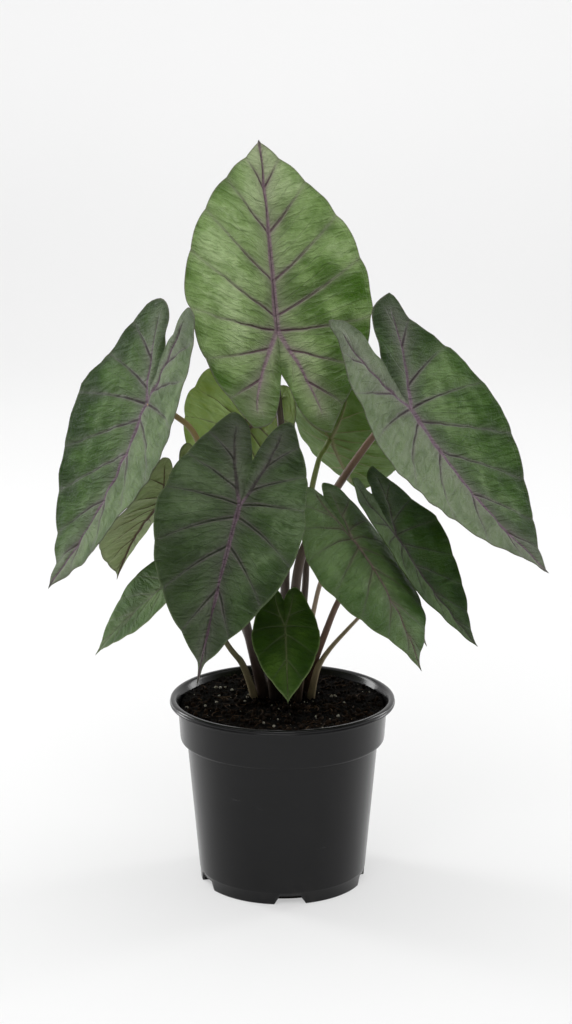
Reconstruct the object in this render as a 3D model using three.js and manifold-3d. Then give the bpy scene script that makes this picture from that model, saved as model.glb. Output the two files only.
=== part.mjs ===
// A potted Alocasia: twelve arrow-shaped leaf blades on stalks that rise from the
// soil of a round black nursery pot. Millimetres, +Z up, the pot's foot on Z = 0,
// the pot's axis on X = Y = 0, and the plant's front towards -Y.
import * as THREE from "three";
import { mergeVertices } from "three/addons/utils/BufferGeometryUtils.js";
import Module from "manifold-3d";

const wasm = await Module();
wasm.setup();

// Driving dimensions of the pot
const RIM_TOP = 143;
const RIM_RADIUS = 85;
const RIM_DEPTH = 4.6;
const COLLAR_TOP_RADIUS = 79;
const COLLAR_FOOT_RADIUS = 77.2;
const COLLAR_FOOT = 111;
const BODY_TOP_RADIUS = 72.2;
const BODY_FOOT_RADIUS = 62.6;
const WALL = 1.6;
const FLOOR_TOP = 2.6;
const FLOOR_FILLET = 2;
const POT_SIDES = 60;
const NOTCH_COUNT = 5;
const NOTCH_FOOT_WIDTH = 24;
const NOTCH_TOP_WIDTH = 16;
const NOTCH_HEIGHT = 6.6;
const NOTCH_INNER_RADIUS = 50;
const FIRST_NOTCH_DEG = -84.6;

// Driving dimensions of the soil
const SOIL_TOP = 137.5;
const SOIL_SWELL = 0.55;
const SWELL_ACROSS = 13;
const SWELL_BACK = 11;
const SWELL_SLANT = 23;
const SOIL_RINGS = 6;
const SOIL_SIDES = 36;
const SOIL_GAP = 0.55;
const STALK_GAP = 0.35;

// Driving dimensions shared by the leaves and their stalks
const BLADE_THICKNESS = 0.8;
const STALK_FOOT = 126;
const STALK_END_GAP = 1.3;
const STALK_NECK = 11;
const STALK_TAPER = 1.3;
const STALK_POINT = 0.25;
const STALK_POINT_SLOPE = 22;
const STALK_SIDES = 8;
const STALK_STEPS = 13;

// Every blade starts from this form. gap, sinus, belly and drip are fractions of the
// blade's own sizes, sway is in millimetres and the rest are degrees of bend.
const BLADE_FORM = {
  gap: 0.33,
  sinus: 0.5,
  belly: 0.13,
  drip: 0.06,
  fold: 10,
  lobeFold: 0,
  arch: 8,
  droop: 15,
  lobeBend: 12,
  twist: 0,
  sway: 0,
};

// One entry for each leaf. hub is where the stalk meets the blade. heading turns the
// midrib from the front (0) towards +X (90), rise lifts its tip above level, and roll
// turns the blade about it. foot and via are the stalk's route from the soil up, radii
// are its radius at the foot and at the top, and neck is how far below the hub its last
// bend lies where that isn't the usual distance.
const LEAVES = [
  {
    name: "top",
    hub: [-4, 20, 418],
    heading: 190,
    rise: 62,
    roll: 12,
    length: 162,
    halfWidth: 75,
    lobe: 82,
    form: { gap: 0.4, sinus: 0.42, belly: 0.12, drip: 0.04, fold: 15, lobeFold: -14, arch: 13,
      droop: 13, lobeBend: 20, twist: -2, sway: -6 },
    foot: [2, 24],
    via: [[2, 14, 222], [3, 9, 293], [-1, 12, 348]],
    radii: [4.2, 2.4],
  },
  {
    name: "left",
    hub: [-99, -14, 369.5],
    heading: -62,
    rise: -68,
    roll: -1.5,
    length: 153,
    halfWidth: 79,
    lobe: 76,
    form: { gap: 0.285, sinus: 0.54, belly: 0.03, drip: 0.05, fold: 7, lobeFold: -6, arch: -11,
      droop: -20, lobeBend: 4, twist: -2 },
    foot: [-15, 17],
    via: [[-27, 6, 196], [-45, -3, 280], [-62, -7, 341], [-79, -11, 361]],
    radii: [4.2, 2.1],
  },
  {
    name: "right",
    hub: [93, -25, 368],
    heading: 67,
    rise: -55,
    roll: 14,
    length: 156,
    halfWidth: 78,
    lobe: 83,
    form: { gap: 0.5, sinus: 0.5, belly: 0.1, drip: 0.045, fold: 4, arch: -15, droop: -20,
      lobeBend: 6, twist: -4 },
    foot: [9, 14],
    via: [[10, 6, 226], [20, 3, 266], [41, 4, 304], [69, -11, 348]],
    radii: [4.6, 2.6],
  },
  {
    name: "front",
    hub: [-30, -75, 308],
    heading: -19,
    rise: -45,
    roll: -12,
    length: 136,
    halfWidth: 59,
    lobe: 69,
    form: { gap: 0.36, sinus: 0.55, belly: 0.14, drip: 0.12, fold: 22, lobeFold: -6, arch: -8,
      droop: 26, lobeBend: 6, twist: 2 },
    foot: [-6, 10],
    via: [[-14, -22, 209], [-23, -50, 273]],
    radii: [4, 2.2],
  },
  {
    name: "young",
    hub: [2, -55, 213],
    heading: 4,
    rise: -50,
    roll: 1,
    length: 58,
    halfWidth: 25,
    lobe: 30,
    form: { sinus: 0.69, belly: 0.11, droop: 19 },
    foot: [2, 5],
    via: [[1, -24, 172]],
    radii: [2.4, 1.3],
  },
  {
    name: "front_right",
    hub: [51, -45, 276],
    heading: 48.5,
    rise: -42,
    roll: -9.5,
    length: 110,
    halfWidth: 55,
    lobe: 50,
    form: { gap: 0.22, sinus: 0.75, belly: 0.085, fold: 3, lobeFold: 8, arch: 30, droop: 20,
      lobeBend: 2, twist: 8 },
    foot: [12, 3],
    via: [[23, -18, 214], [31, -32, 247]],
    radii: [2.6, 1.5],
  },
  {
    name: "right_low",
    hub: [84, -12, 270.5],
    heading: 67,
    rise: -56,
    roll: 7,
    length: 102,
    halfWidth: 43.5,
    lobe: 53,
    form: { gap: 0.43, sinus: 0.65, belly: 0.045, drip: 0.05, fold: 6, lobeFold: -8, arch: -26,
      droop: -12, lobeBend: 3, twist: -1 },
    foot: [17, 22],
    via: [[30, 12, 182], [43, 7, 217], [61, 10, 245], [77, 3, 261]],
    radii: [3.2, 1.8],
    neck: 4,
  },
  {
    name: "left_low",
    hub: [-79, -15, 239],
    heading: -92,
    rise: -38,
    roll: -13,
    length: 87,
    halfWidth: 39,
    lobe: 43,
    form: { belly: 0.2, drip: 0.08, fold: 12, arch: 10, lobeBend: 10, twist: -8 },
    foot: [-21.5, 9],
    via: [[-30, 5, 165.5], [-41, -2, 183.5], [-61, -14, 222]],
    radii: [3, 1.3],
  },
  {
    name: "back_left_low",
    hub: [-93, 45, 282],
    heading: -139,
    rise: -39,
    roll: -15,
    length: 98,
    halfWidth: 43,
    lobe: 54,
    form: { drip: 0.08, fold: 13, arch: 6, droop: 22, lobeBend: 40 },
    foot: [-13, 27],
    via: [[-32, 30, 195], [-63, 36, 263]],
    radii: [3.2, 1.5],
  },
  {
    name: "back_left",
    hub: [-27, 66, 335],
    heading: 200,
    rise: -47,
    roll: 66,
    length: 128,
    halfWidth: 60,
    lobe: 67,
    form: { belly: 0.16, fold: 2, arch: 18, droop: 9, lobeBend: 16 },
    foot: [-4, 34],
    via: [[-13, 36, 193], [-21, 42, 287]],
    radii: [3.8, 1.9],
  },
  {
    name: "back_right",
    hub: [37, 66, 328],
    heading: 168,
    rise: -38,
    roll: 20,
    length: 120,
    halfWidth: 52,
    lobe: 62,
    form: { belly: 0.17, fold: 9, arch: -24, droop: -13, lobeBend: 33, twist: -9 },
    foot: [10, 29],
    via: [[17, 24, 219], [20, 29, 281], [27, 39, 315]],
    radii: [3.4, 1.9],
  },
  {
    name: "back_right_low",
    hub: [71, 36, 218],
    heading: 60,
    rise: -20,
    roll: 0,
    length: 62,
    halfWidth: 27,
    lobe: 32,
    form: { droop: 45, drip: 0.1 },
    foot: [22, 9],
    via: [[27, 10, 161.5], [36, 19, 174], [51.5, 27, 189.5], [63, 31, 201]],
    radii: [2.8, 1.1],
  },
];

// The blade's outline, as fractions: front points run from the drip tip back to the
// belly (1 to 0 along, share of the half width across), rear points from the hub's
// level back towards the lobe's end, which is at least one step wider than its gap.
const FRONT_POINTS = [
  [1, 0.05],
  [0.92, 0.16],
  [0.8, 0.36],
  [0.65, 0.58],
  [0.45, 0.8],
  [0.22, 0.955],
  [0, 1],
];
const SHOULDER_REACH = 0.04;
const SHOULDER_WIDTH = 0.945;
const REAR_POINTS = [[0.25, 0.86], [0.5, 0.73], [0.75, 0.59], [0.93, 0.45]];
const MARGIN_STEPS = 100;
const LOBE_END_STEP = 0.05;
const FRONT_LINES = 10;
const LOBE_LINES = 4;
const ACROSS_STEPS = 3;
const VEIN_SLANT = 2.4;
const COSTA_REACH = 0.92;
const COSTA_LENGTH = 0.9;
const COSTA_SPREAD = 0.85;
const COSTA_START = 1.5;
const COSTA_CURVE = 1.6;
const INNER_CROWDING = 1.5;
const VEIN_BOW = 0.035;

const radians = THREE.MathUtils.degToRad;

// An arc of constant bend: how far it gets along and off its first direction.
function arcAlong(distance, bend, length) {
  const rate = bend / length || 1e-6;
  return [Math.sin(rate * distance) / rate, (1 - Math.cos(rate * distance)) / rate];
}

// The blade's own axes: along the midrib, to its left, and out of its upper face.
function bladeAxes(leaf) {
  const heading = radians(leaf.heading);
  const rise = radians(leaf.rise);
  const along = new THREE.Vector3(
    Math.cos(rise) * Math.sin(heading),
    -Math.cos(rise) * Math.cos(heading),
    Math.sin(rise),
  );
  const up = new THREE.Vector3(0, 0, 1);
  up.addScaledVector(along, -along.z).normalize();
  up.applyAxisAngle(along, radians(leaf.roll));
  const left = new THREE.Vector3().crossVectors(up, along);
  return { along, left, up };
}

// A point of the bent blade for flat coordinates: x along the midrib from the hub,
// y across it. The section folds at the midrib and arches, and turns with the twist.
// The midrib is an arc in front of the hub and another one behind it.
function bladePoint(leaf, x, y) {
  const form = { ...BLADE_FORM, ...leaf.form };
  const ahead = THREE.MathUtils.clamp(x / leaf.length, 0, 1);
  const behind = THREE.MathUtils.clamp(-x / leaf.lobe, 0, 1);
  const fold = radians(form.fold + form.lobeFold * behind);
  const rate = radians(form.arch) / leaf.halfWidth || 1e-6;
  const turn = fold - rate * Math.abs(y);
  const flatAcross = ((Math.sin(fold) - Math.sin(turn)) / rate) * Math.sign(y);
  const flatUp = (Math.cos(turn) - Math.cos(fold)) / rate;
  const twist = radians(form.twist) * ahead;
  const across = Math.cos(twist) * flatAcross - Math.sin(twist) * flatUp + form.sway * ahead * ahead;
  const up = Math.sin(twist) * flatAcross + Math.cos(twist) * flatUp;
  const front = x >= 0;
  const [reach, drop] = front
    ? arcAlong(x, radians(form.droop), leaf.length)
    : arcAlong(-x, radians(form.lobeBend), leaf.lobe);
  const pitch = front ? -radians(form.droop) * ahead : -radians(form.lobeBend) * behind;
  const axes = bladeAxes(leaf);
  return new THREE.Vector3(...leaf.hub)
    .addScaledVector(axes.along, (front ? reach : -reach) - Math.sin(pitch) * up)
    .addScaledVector(axes.left, across)
    .addScaledVector(axes.up, (front ? -drop : drop) + Math.cos(pitch) * up);
}

function bladeNormal(leaf, x, y) {
  const step = 0.5;
  const alongX = bladePoint(leaf, x + step, y).sub(bladePoint(leaf, x - step, y));
  const alongY = bladePoint(leaf, x, y + step).sub(bladePoint(leaf, x, y - step));
  return alongX.cross(alongY).normalize();
}

// How far ahead of the hub the margin's shoulder lies, as a share of the length. It
// stays behind the belly, so that the margin never doubles back.
function shoulderReach(leaf) {
  const { belly } = { ...BLADE_FORM, ...leaf.form };
  return Math.min(SHOULDER_REACH, belly / 2);
}

// The margin of one half, from the tip round the lobe to the sinus, cut into three
// stretches: the front, the lobe's outer side and its inner side.
function marginStretches(leaf) {
  const form = { ...BLADE_FORM, ...leaf.form };
  const { length, halfWidth, lobe } = leaf;
  const frontReach = 1 - form.drip - form.belly;
  const points = [
    [length, 0],
    [(1 - form.drip / 2) * length, 0.015 * halfWidth],
    ...FRONT_POINTS.map(([s, w]) => [(form.belly + frontReach * s) * length, w * halfWidth]),
    [shoulderReach(leaf) * length, SHOULDER_WIDTH * halfWidth],
    ...REAR_POINTS.map(([s, w]) => [-s * lobe, Math.max(w, form.gap + LOBE_END_STEP) * halfWidth]),
    [-lobe, form.gap * halfWidth],
    [-0.93 * lobe, form.gap * 0.5 * halfWidth],
    [-(0.465 + form.sinus / 2) * lobe, form.gap * 0.2 * halfWidth],
    [-form.sinus * lobe, 0],
  ].map(([x, y]) => new THREE.Vector2(x, y));
  const curve = new THREE.SplineCurve(points);
  const last = points.length - 1;
  const shoulder = 2 + FRONT_POINTS.length;
  const lobeEnd = shoulder + REAR_POINTS.length + 1;
  const stretch = (from, to, count, power) => {
    const fine = Array.from({ length: MARGIN_STEPS + 1 }, (_, i) =>
      curve.getPoint((from + ((to - from) * i) / MARGIN_STEPS) / last),
    );
    const lengths = fine.map(() => 0);
    for (let i = 1; i < fine.length; i += 1) {
      lengths[i] = lengths[i - 1] + fine[i].distanceTo(fine[i - 1]);
    }
    return Array.from({ length: count + 1 }, (_, i) => {
      const wanted = lengths[MARGIN_STEPS] * (i / count) ** power;
      const next = Math.max(1, lengths.findIndex((value) => value >= wanted - 1e-9));
      const share = (wanted - lengths[next - 1]) / (lengths[next] - lengths[next - 1]);
      return fine[next - 1].clone().lerp(fine[next], share);
    });
  };
  return {
    front: stretch(0, shoulder, FRONT_LINES, 1),
    outer: stretch(shoulder, lobeEnd, LOBE_LINES, 1),
    inner: stretch(last, lobeEnd, LOBE_LINES, INNER_CROWDING).reverse(),
  };
}

// The lines of one half that run from the ribs to the margin, as its side veins do:
// from the midrib in front, and from the lobe's own rib, the costa, behind the hub.
function veinLines(leaf) {
  const form = { ...BLADE_FORM, ...leaf.form };
  const { front, outer, inner } = marginStretches(leaf);
  const costa = (share) => {
    const reach = COSTA_REACH * share ** COSTA_START;
    const spread = COSTA_SPREAD * form.gap * leaf.halfWidth * (1 - (1 - reach) ** COSTA_CURVE);
    return new THREE.Vector2(-COSTA_LENGTH * leaf.lobe * reach, spread);
  };
  const lines = front.map((margin) => {
    const reach = shoulderReach(leaf);
    const share = Math.max(0, (margin.x / leaf.length - reach) / (1 - reach));
    return { rib: new THREE.Vector2(leaf.length * share ** VEIN_SLANT, 0), margin, bow: VEIN_BOW };
  });
  outer.slice(1).forEach((margin, i) => {
    const share = (i + 1) / LOBE_LINES;
    lines.push({ rib: costa(share), margin, bow: VEIN_BOW * (1 - share) });
  });
  inner.slice(1).forEach((margin, i) => {
    lines.push({ rib: costa(1 - (i + 1) / LOBE_LINES), margin, bow: 0 });
  });
  return lines;
}

// A closed blade: the upper face, the lower face and the thin edge of both halves.
function makeBlade(leaf) {
  const positions = [];
  const indices = [];
  for (const side of [1, -1]) {
    const lines = veinLines(leaf);
    const first = positions.length / 3;
    for (const face of [0.5, -0.5]) {
      for (const { rib, margin, bow } of lines) {
        for (let step = 0; step <= ACROSS_STEPS; step += 1) {
          const share = step / ACROSS_STEPS;
          const flat = rib.clone().lerp(margin, share);
          flat.x -= bow * 4 * share * (1 - share) * rib.distanceTo(margin);
          const normal = bladeNormal(leaf, flat.x, side * flat.y);
          const point = bladePoint(leaf, flat.x, side * flat.y);
          point.addScaledVector(normal, face * BLADE_THICKNESS);
          positions.push(point.x, point.y, point.z);
        }
      }
    }
    const row = ACROSS_STEPS + 1;
    const lower = first + lines.length * row;
    const quad = (a, b, c, d) => {
      indices.push(...(side > 0 ? [a, b, c, a, c, d] : [a, c, b, a, d, c]));
    };
    for (let line = 0; line + 1 < lines.length; line += 1) {
      for (let step = 0; step < ACROSS_STEPS; step += 1) {
        const a = first + line * row + step;
        const b = lower + line * row + step;
        quad(a, a + 1, a + row + 1, a + row);
        quad(b, b + row, b + row + 1, b + 1);
      }
      const edge = line * row + ACROSS_STEPS;
      quad(first + edge, lower + edge, lower + edge + row, first + edge + row);
    }
  }
  return closedGeometry(positions, indices);
}

// Welds shared corners and drops the triangles that close up to nothing at the ribs.
function closedGeometry(positions, indices) {
  const raw = new THREE.BufferGeometry();
  raw.setAttribute("position", new THREE.Float32BufferAttribute(positions, 3));
  raw.setIndex(indices);
  const welded = mergeVertices(raw, 1e-3);
  const kept = [];
  const { array } = welded.index;
  for (let i = 0; i < array.length; i += 3) {
    const [a, b, c] = [array[i], array[i + 1], array[i + 2]];
    if (a !== b && b !== c && c !== a) {
      kept.push(a, b, c);
    }
  }
  welded.setIndex(kept);
  return welded;
}

// The stalk's middle line, from below the soil to just under the blade's hub.
function stalkCurve(leaf) {
  const { up } = bladeAxes(leaf);
  const hub = new THREE.Vector3(...leaf.hub);
  const points = [
    new THREE.Vector3(...leaf.foot, STALK_FOOT),
    new THREE.Vector3(...leaf.foot, SOIL_TOP + 2),
    ...leaf.via.map((point) => new THREE.Vector3(...point)),
    hub.clone().addScaledVector(up, -(leaf.neck ?? STALK_NECK)),
    hub.clone().addScaledVector(up, -STALK_END_GAP),
  ];
  return new THREE.CatmullRomCurve3(points, false, "catmullrom", 0.5);
}

// The stalk is thickest in its sheath at the foot and narrows to a point at the hub.
function stalkRadius(leaf, share) {
  const [foot, top] = leaf.radii;
  const shaft = top + (foot - top) * (1 - share) ** STALK_TAPER;
  const neck = Math.min(1, STALK_POINT + (1 - share) * STALK_POINT_SLOPE);
  return shaft * neck;
}

// A closed cylinder whose rings are carried along the stalk's middle line.
function makeStalk(leaf, extra = 0) {
  const curve = stalkCurve(leaf);
  const frames = curve.computeFrenetFrames(STALK_STEPS, false);
  const geometry = new THREE.CylinderGeometry(1, 1, 1, STALK_SIDES, STALK_STEPS);
  geometry.deleteAttribute("normal");
  geometry.deleteAttribute("uv");
  const position = geometry.attributes.position;
  for (let i = 0; i < position.count; i += 1) {
    const step = Math.round((position.getY(i) + 0.5) * STALK_STEPS);
    const share = step / STALK_STEPS;
    const radius = stalkRadius(leaf, share) + extra;
    const point = curve.getPointAt(share);
    point.addScaledVector(frames.normals[step], radius * position.getX(i));
    point.addScaledVector(frames.binormals[step], -radius * position.getZ(i));
    point.addScaledVector(frames.tangents[step], step === 0 ? -extra : 0);
    position.setXYZ(i, point.x, point.y, point.z);
  }
  return mergeVertices(geometry, 1e-4);
}

function toManifold(geometry) {
  const bare = geometry.clone();
  bare.deleteAttribute("normal");
  bare.deleteAttribute("uv");
  const welded = mergeVertices(bare, 1e-4);
  const vertProperties = new Float32Array(welded.attributes.position.array);
  const triVerts = new Uint32Array(welded.index.array);
  return new wasm.Manifold(new wasm.Mesh({ numProp: 3, vertProperties, triVerts }));
}

function fromManifold(solid) {
  const { numProp, vertProperties, triVerts } = solid.getMesh();
  const geometry = new THREE.BufferGeometry();
  const positions = new Float32Array((vertProperties.length / numProp) * 3);
  for (let i = 0; i < positions.length / 3; i += 1) {
    positions.set(vertProperties.subarray(i * numProp, i * numProp + 3), i * 3);
  }
  geometry.setAttribute("position", new THREE.BufferAttribute(positions, 3));
  geometry.setIndex(new THREE.BufferAttribute(new Uint32Array(triVerts), 1));
  return geometry;
}

// A body of revolution about the pot's axis.
function turned(profile, sides) {
  const points = profile.map(([radius, height]) => new THREE.Vector2(radius, height));
  return new THREE.LatheGeometry(points, sides).rotateX(Math.PI / 2);
}

const bodyRadius = (height) =>
  BODY_FOOT_RADIUS + ((BODY_TOP_RADIUS - BODY_FOOT_RADIUS) * height) / COLLAR_FOOT;

// The pot: a flat floor, a tapered body, a stepped collar and a thin out-turned rim.
// Drainage notches cut through the wall's foot together with the edge of the floor.
function makePot() {
  const shell = toManifold(
    turned(
      [
        [0, 0],
        [BODY_FOOT_RADIUS - 1, 0],
        [BODY_FOOT_RADIUS, 1.4],
        [BODY_TOP_RADIUS, COLLAR_FOOT - 1],
        [COLLAR_FOOT_RADIUS - 1, COLLAR_FOOT - 0.4],
        [COLLAR_FOOT_RADIUS, COLLAR_FOOT + 1],
        [COLLAR_TOP_RADIUS, RIM_TOP - RIM_DEPTH - 1],
        [RIM_RADIUS - 1, RIM_TOP - RIM_DEPTH],
        [RIM_RADIUS, RIM_TOP - RIM_DEPTH + 1],
        [RIM_RADIUS - 0.4, RIM_TOP - 0.8],
        [RIM_RADIUS - 1.6, RIM_TOP],
        [COLLAR_TOP_RADIUS - 0.6, RIM_TOP],
        [COLLAR_TOP_RADIUS - WALL, RIM_TOP - 1],
        [COLLAR_FOOT_RADIUS - WALL, COLLAR_FOOT + 2],
        [BODY_TOP_RADIUS - WALL, COLLAR_FOOT - 0.5],
        [bodyRadius(FLOOR_TOP) - WALL - FLOOR_FILLET, FLOOR_TOP],
        [0, FLOOR_TOP],
      ],
      POT_SIDES,
    ),
  );
  const outline = new THREE.Shape([
    new THREE.Vector2(-NOTCH_FOOT_WIDTH / 2, -1),
    new THREE.Vector2(NOTCH_FOOT_WIDTH / 2, -1),
    new THREE.Vector2(NOTCH_TOP_WIDTH / 2, NOTCH_HEIGHT),
    new THREE.Vector2(-NOTCH_TOP_WIDTH / 2, NOTCH_HEIGHT),
  ]);
  const depth = BODY_TOP_RADIUS - NOTCH_INNER_RADIUS;
  let pot = shell;
  for (let i = 0; i < NOTCH_COUNT; i += 1) {
    const notch = new THREE.ExtrudeGeometry(outline, { depth, bevelEnabled: false })
      .rotateX(Math.PI / 2)
      .translate(0, -NOTCH_INNER_RADIUS, 0)
      .rotateZ(radians(FIRST_NOTCH_DEG + 90 + (i * 360) / NOTCH_COUNT));
    pot = pot.subtract(toManifold(notch));
  }
  return fromManifold(pot);
}

// The soil fills the pot with a clear gap to its wall. Its top swells and sinks a
// little, and every stalk has its own hole in it.
function makeSoil() {
  const rim = COLLAR_FOOT_RADIUS - WALL + SOIL_GAP;
  const top = Array.from({ length: SOIL_RINGS + 1 }, (_, i) => [rim * (1 - i / SOIL_RINGS), SOIL_TOP]);
  const profile = [
    [0, FLOOR_TOP + SOIL_GAP],
    [bodyRadius(FLOOR_TOP) - WALL - FLOOR_FILLET - SOIL_GAP, FLOOR_TOP + SOIL_GAP],
    [BODY_TOP_RADIUS - WALL - SOIL_GAP, COLLAR_FOOT],
    [COLLAR_FOOT_RADIUS - WALL - SOIL_GAP, COLLAR_FOOT + 3],
    ...top,
  ];
  const geometry = turned(profile, SOIL_SIDES);
  const position = geometry.attributes.position;
  for (let i = 0; i < position.count; i += 1) {
    const [x, y, z] = [position.getX(i), position.getY(i), position.getZ(i)];
    if (z > SOIL_TOP - 0.01) {
      const humps = Math.sin(x / SWELL_ACROSS + 1) * Math.cos(y / SWELL_BACK);
      position.setZ(i, z + SOIL_SWELL * (humps + Math.sin((x - y) / SWELL_SLANT)));
    }
  }
  let soil = toManifold(geometry);
  for (const leaf of LEAVES) {
    soil = soil.subtract(toManifold(makeStalk(leaf, STALK_GAP)));
  }
  return fromManifold(soil);
}

const plant = new THREE.Group();

function addPart(name, geometry, color, roughness) {
  const material = new THREE.MeshStandardMaterial({ color, roughness, metalness: 0 });
  const mesh = new THREE.Mesh(geometry, material);
  mesh.name = name;
  plant.add(mesh);
}

addPart("pot", makePot(), 0x1b1b1d, 0.42);
addPart("soil", makeSoil(), 0x1d1511, 0.95);
for (const leaf of LEAVES) {
  addPart(`stalk_${leaf.name}`, makeStalk(leaf), 0x4a3a2b, 0.5);
  addPart(`leaf_${leaf.name}`, makeBlade(leaf), 0x4b6b48, 0.45);
}

export default plant;
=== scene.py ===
# %% [markdown]
# # A potted Alocasia in Blender
#
# The plant is a clump of arrow-shaped leaves on long stalks, in a black nursery
# pot. A plain solid model of it already exists, with every leaf, stalk, the soil
# and the pot at its real size. Here each of those solids gets a fine surface and a
# living finish. Sizes are worked out in millimetres and stored in metres.

import bpy
import numpy as np
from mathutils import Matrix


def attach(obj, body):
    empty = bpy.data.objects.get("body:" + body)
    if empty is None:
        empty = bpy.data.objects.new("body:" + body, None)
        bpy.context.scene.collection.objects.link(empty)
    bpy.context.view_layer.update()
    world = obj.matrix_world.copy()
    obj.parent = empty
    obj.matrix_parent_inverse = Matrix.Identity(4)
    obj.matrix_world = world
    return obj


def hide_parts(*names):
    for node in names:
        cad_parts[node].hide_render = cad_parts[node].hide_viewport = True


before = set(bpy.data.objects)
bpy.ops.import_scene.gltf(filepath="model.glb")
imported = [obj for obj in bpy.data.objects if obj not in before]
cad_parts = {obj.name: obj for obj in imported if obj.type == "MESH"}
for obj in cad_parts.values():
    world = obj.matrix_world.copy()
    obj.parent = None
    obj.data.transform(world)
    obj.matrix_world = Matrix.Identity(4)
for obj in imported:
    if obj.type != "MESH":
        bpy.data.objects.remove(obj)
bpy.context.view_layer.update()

# %% [markdown]
# ## The camera
#
# The photograph looks down a little, from well back, so the leaves keep their
# proportions. An 85 mm lens 1.75 m in front of the pot gives the same perspective:
# both the rim's and the foot's ellipses come out as flat as they should.

# %% Place the camera
MM = 0.001
LOOK_DOWN_DEG = 13.3
CAMERA_MM = (2.7, -1745.0, 698.0)

camera_data = bpy.data.cameras.new("camera")
camera_data.lens = 85
camera = bpy.data.objects.new("camera", camera_data)
camera.location = [c * MM for c in CAMERA_MM]
camera.rotation_euler = (np.radians(90 - LOOK_DOWN_DEG), 0, 0)
bpy.context.scene.collection.objects.link(camera)
bpy.context.scene.camera = camera
bpy.context.scene.view_settings.view_transform = "Standard"
print("camera at", tuple(round(c, 3) for c in camera.location))

# %% [markdown]
# ## Turning a grid of points into a mesh
#
# Every surface below is a grid: a function of two parameters, worked out for all
# points at once. Neighbouring points make quads, each quad makes two triangles,
# and points that fall on the same place are welded, so that seams and tips close.


# %% Helpers that build a welded mesh from grids
def grid_triangles(rows, columns, start=0, flip=False, wrap=False):
    """Two triangles for each cell of a rows by columns grid whose points are numbered
    row by row from start. flip turns them over; wrap joins the last column to the first."""
    cells_across = columns if wrap else columns - 1
    row, column = np.meshgrid(np.arange(rows - 1), np.arange(cells_across), indexing="ij")
    after = (column + 1) % columns
    a, b = row * columns + column, row * columns + after
    c, d = (row + 1) * columns + after, (row + 1) * columns + column
    cells = np.stack([a, b, c, a, c, d], axis=-1).reshape(-1, 3) + start
    return cells[:, ::-1] if flip else cells


def make_piece(name, points, triangles, values=None, places=None, weld=0.0015):
    """A smooth mesh object from points in millimetres. values are floats kept on the
    points, places are map coordinates, and points nearer than weld become one."""
    keys = np.round(points / weld).astype(np.int64)
    first, merged = np.unique(keys, axis=0, return_index=True, return_inverse=True)[1:]
    merged = merged.reshape(-1)
    corners = merged[triangles]
    whole = (
        (corners[:, 0] != corners[:, 1])
        & (corners[:, 1] != corners[:, 2])
        & (corners[:, 2] != corners[:, 0])
    )
    mesh = bpy.data.meshes.new(name)
    mesh.from_pydata((points[first] * MM).tolist(), [], corners[whole].tolist())
    mesh.polygons.foreach_set("use_smooth", np.ones(whole.sum(), bool))
    for key, amount in (values or {}).items():
        kept = mesh.attributes.new(key, "FLOAT", "POINT")
        kept.data.foreach_set("value", amount[first].astype(np.float32))
    if places is not None:
        corner_places = places[triangles[whole].reshape(-1)].astype(np.float32)
        mesh.uv_layers.new(name="surface_map").data.foreach_set("uv", corner_places.reshape(-1))
    piece = bpy.data.objects.new(name, mesh)
    bpy.context.scene.collection.objects.link(piece)
    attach(piece, "root")
    return piece


def smooth_step(value, low, high):
    """0 below low, 1 above high, and an S-shaped rise between them."""
    share = np.clip((value - low) / (high - low), 0, 1)
    return share * share * (3 - 2 * share)


def ripple(points, wavelength, seed, waves=9):
    """Gentle unevenness, mostly between -1.5 and 1.5: the sum of a few sine waves that
    run in random directions through the points, each near the wavelength, divided by
    the square root of their number."""
    draw = np.random.default_rng(seed)
    ways = draw.normal(size=(waves, points.shape[-1]))
    spread = draw.uniform(0.6, 1.5, (waves, 1))
    ways *= (2 * np.pi / wavelength) * spread / np.linalg.norm(ways, axis=1, keepdims=True)
    phases = draw.uniform(0, 2 * np.pi, waves)
    return np.sin(points @ ways.T + phases).sum(axis=-1) / np.sqrt(waves)


# %% [markdown]
# ## Mixing finishes
#
# A finish is a small tree of shader nodes. These helpers keep each one readable: a
# node is made in one call, and an input is either a plain value or another node's
# output.


# %% Helpers that build shader nodes
def linear(red, green, blue):
    """The linear colour for screen values from 0 to 255."""
    screen = np.array([red, green, blue]) / 255
    light = np.where(screen <= 0.04045, screen / 12.92, ((screen + 0.055) / 1.055) ** 2.4)
    return (*(float(v) for v in light), 1.0)


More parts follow.
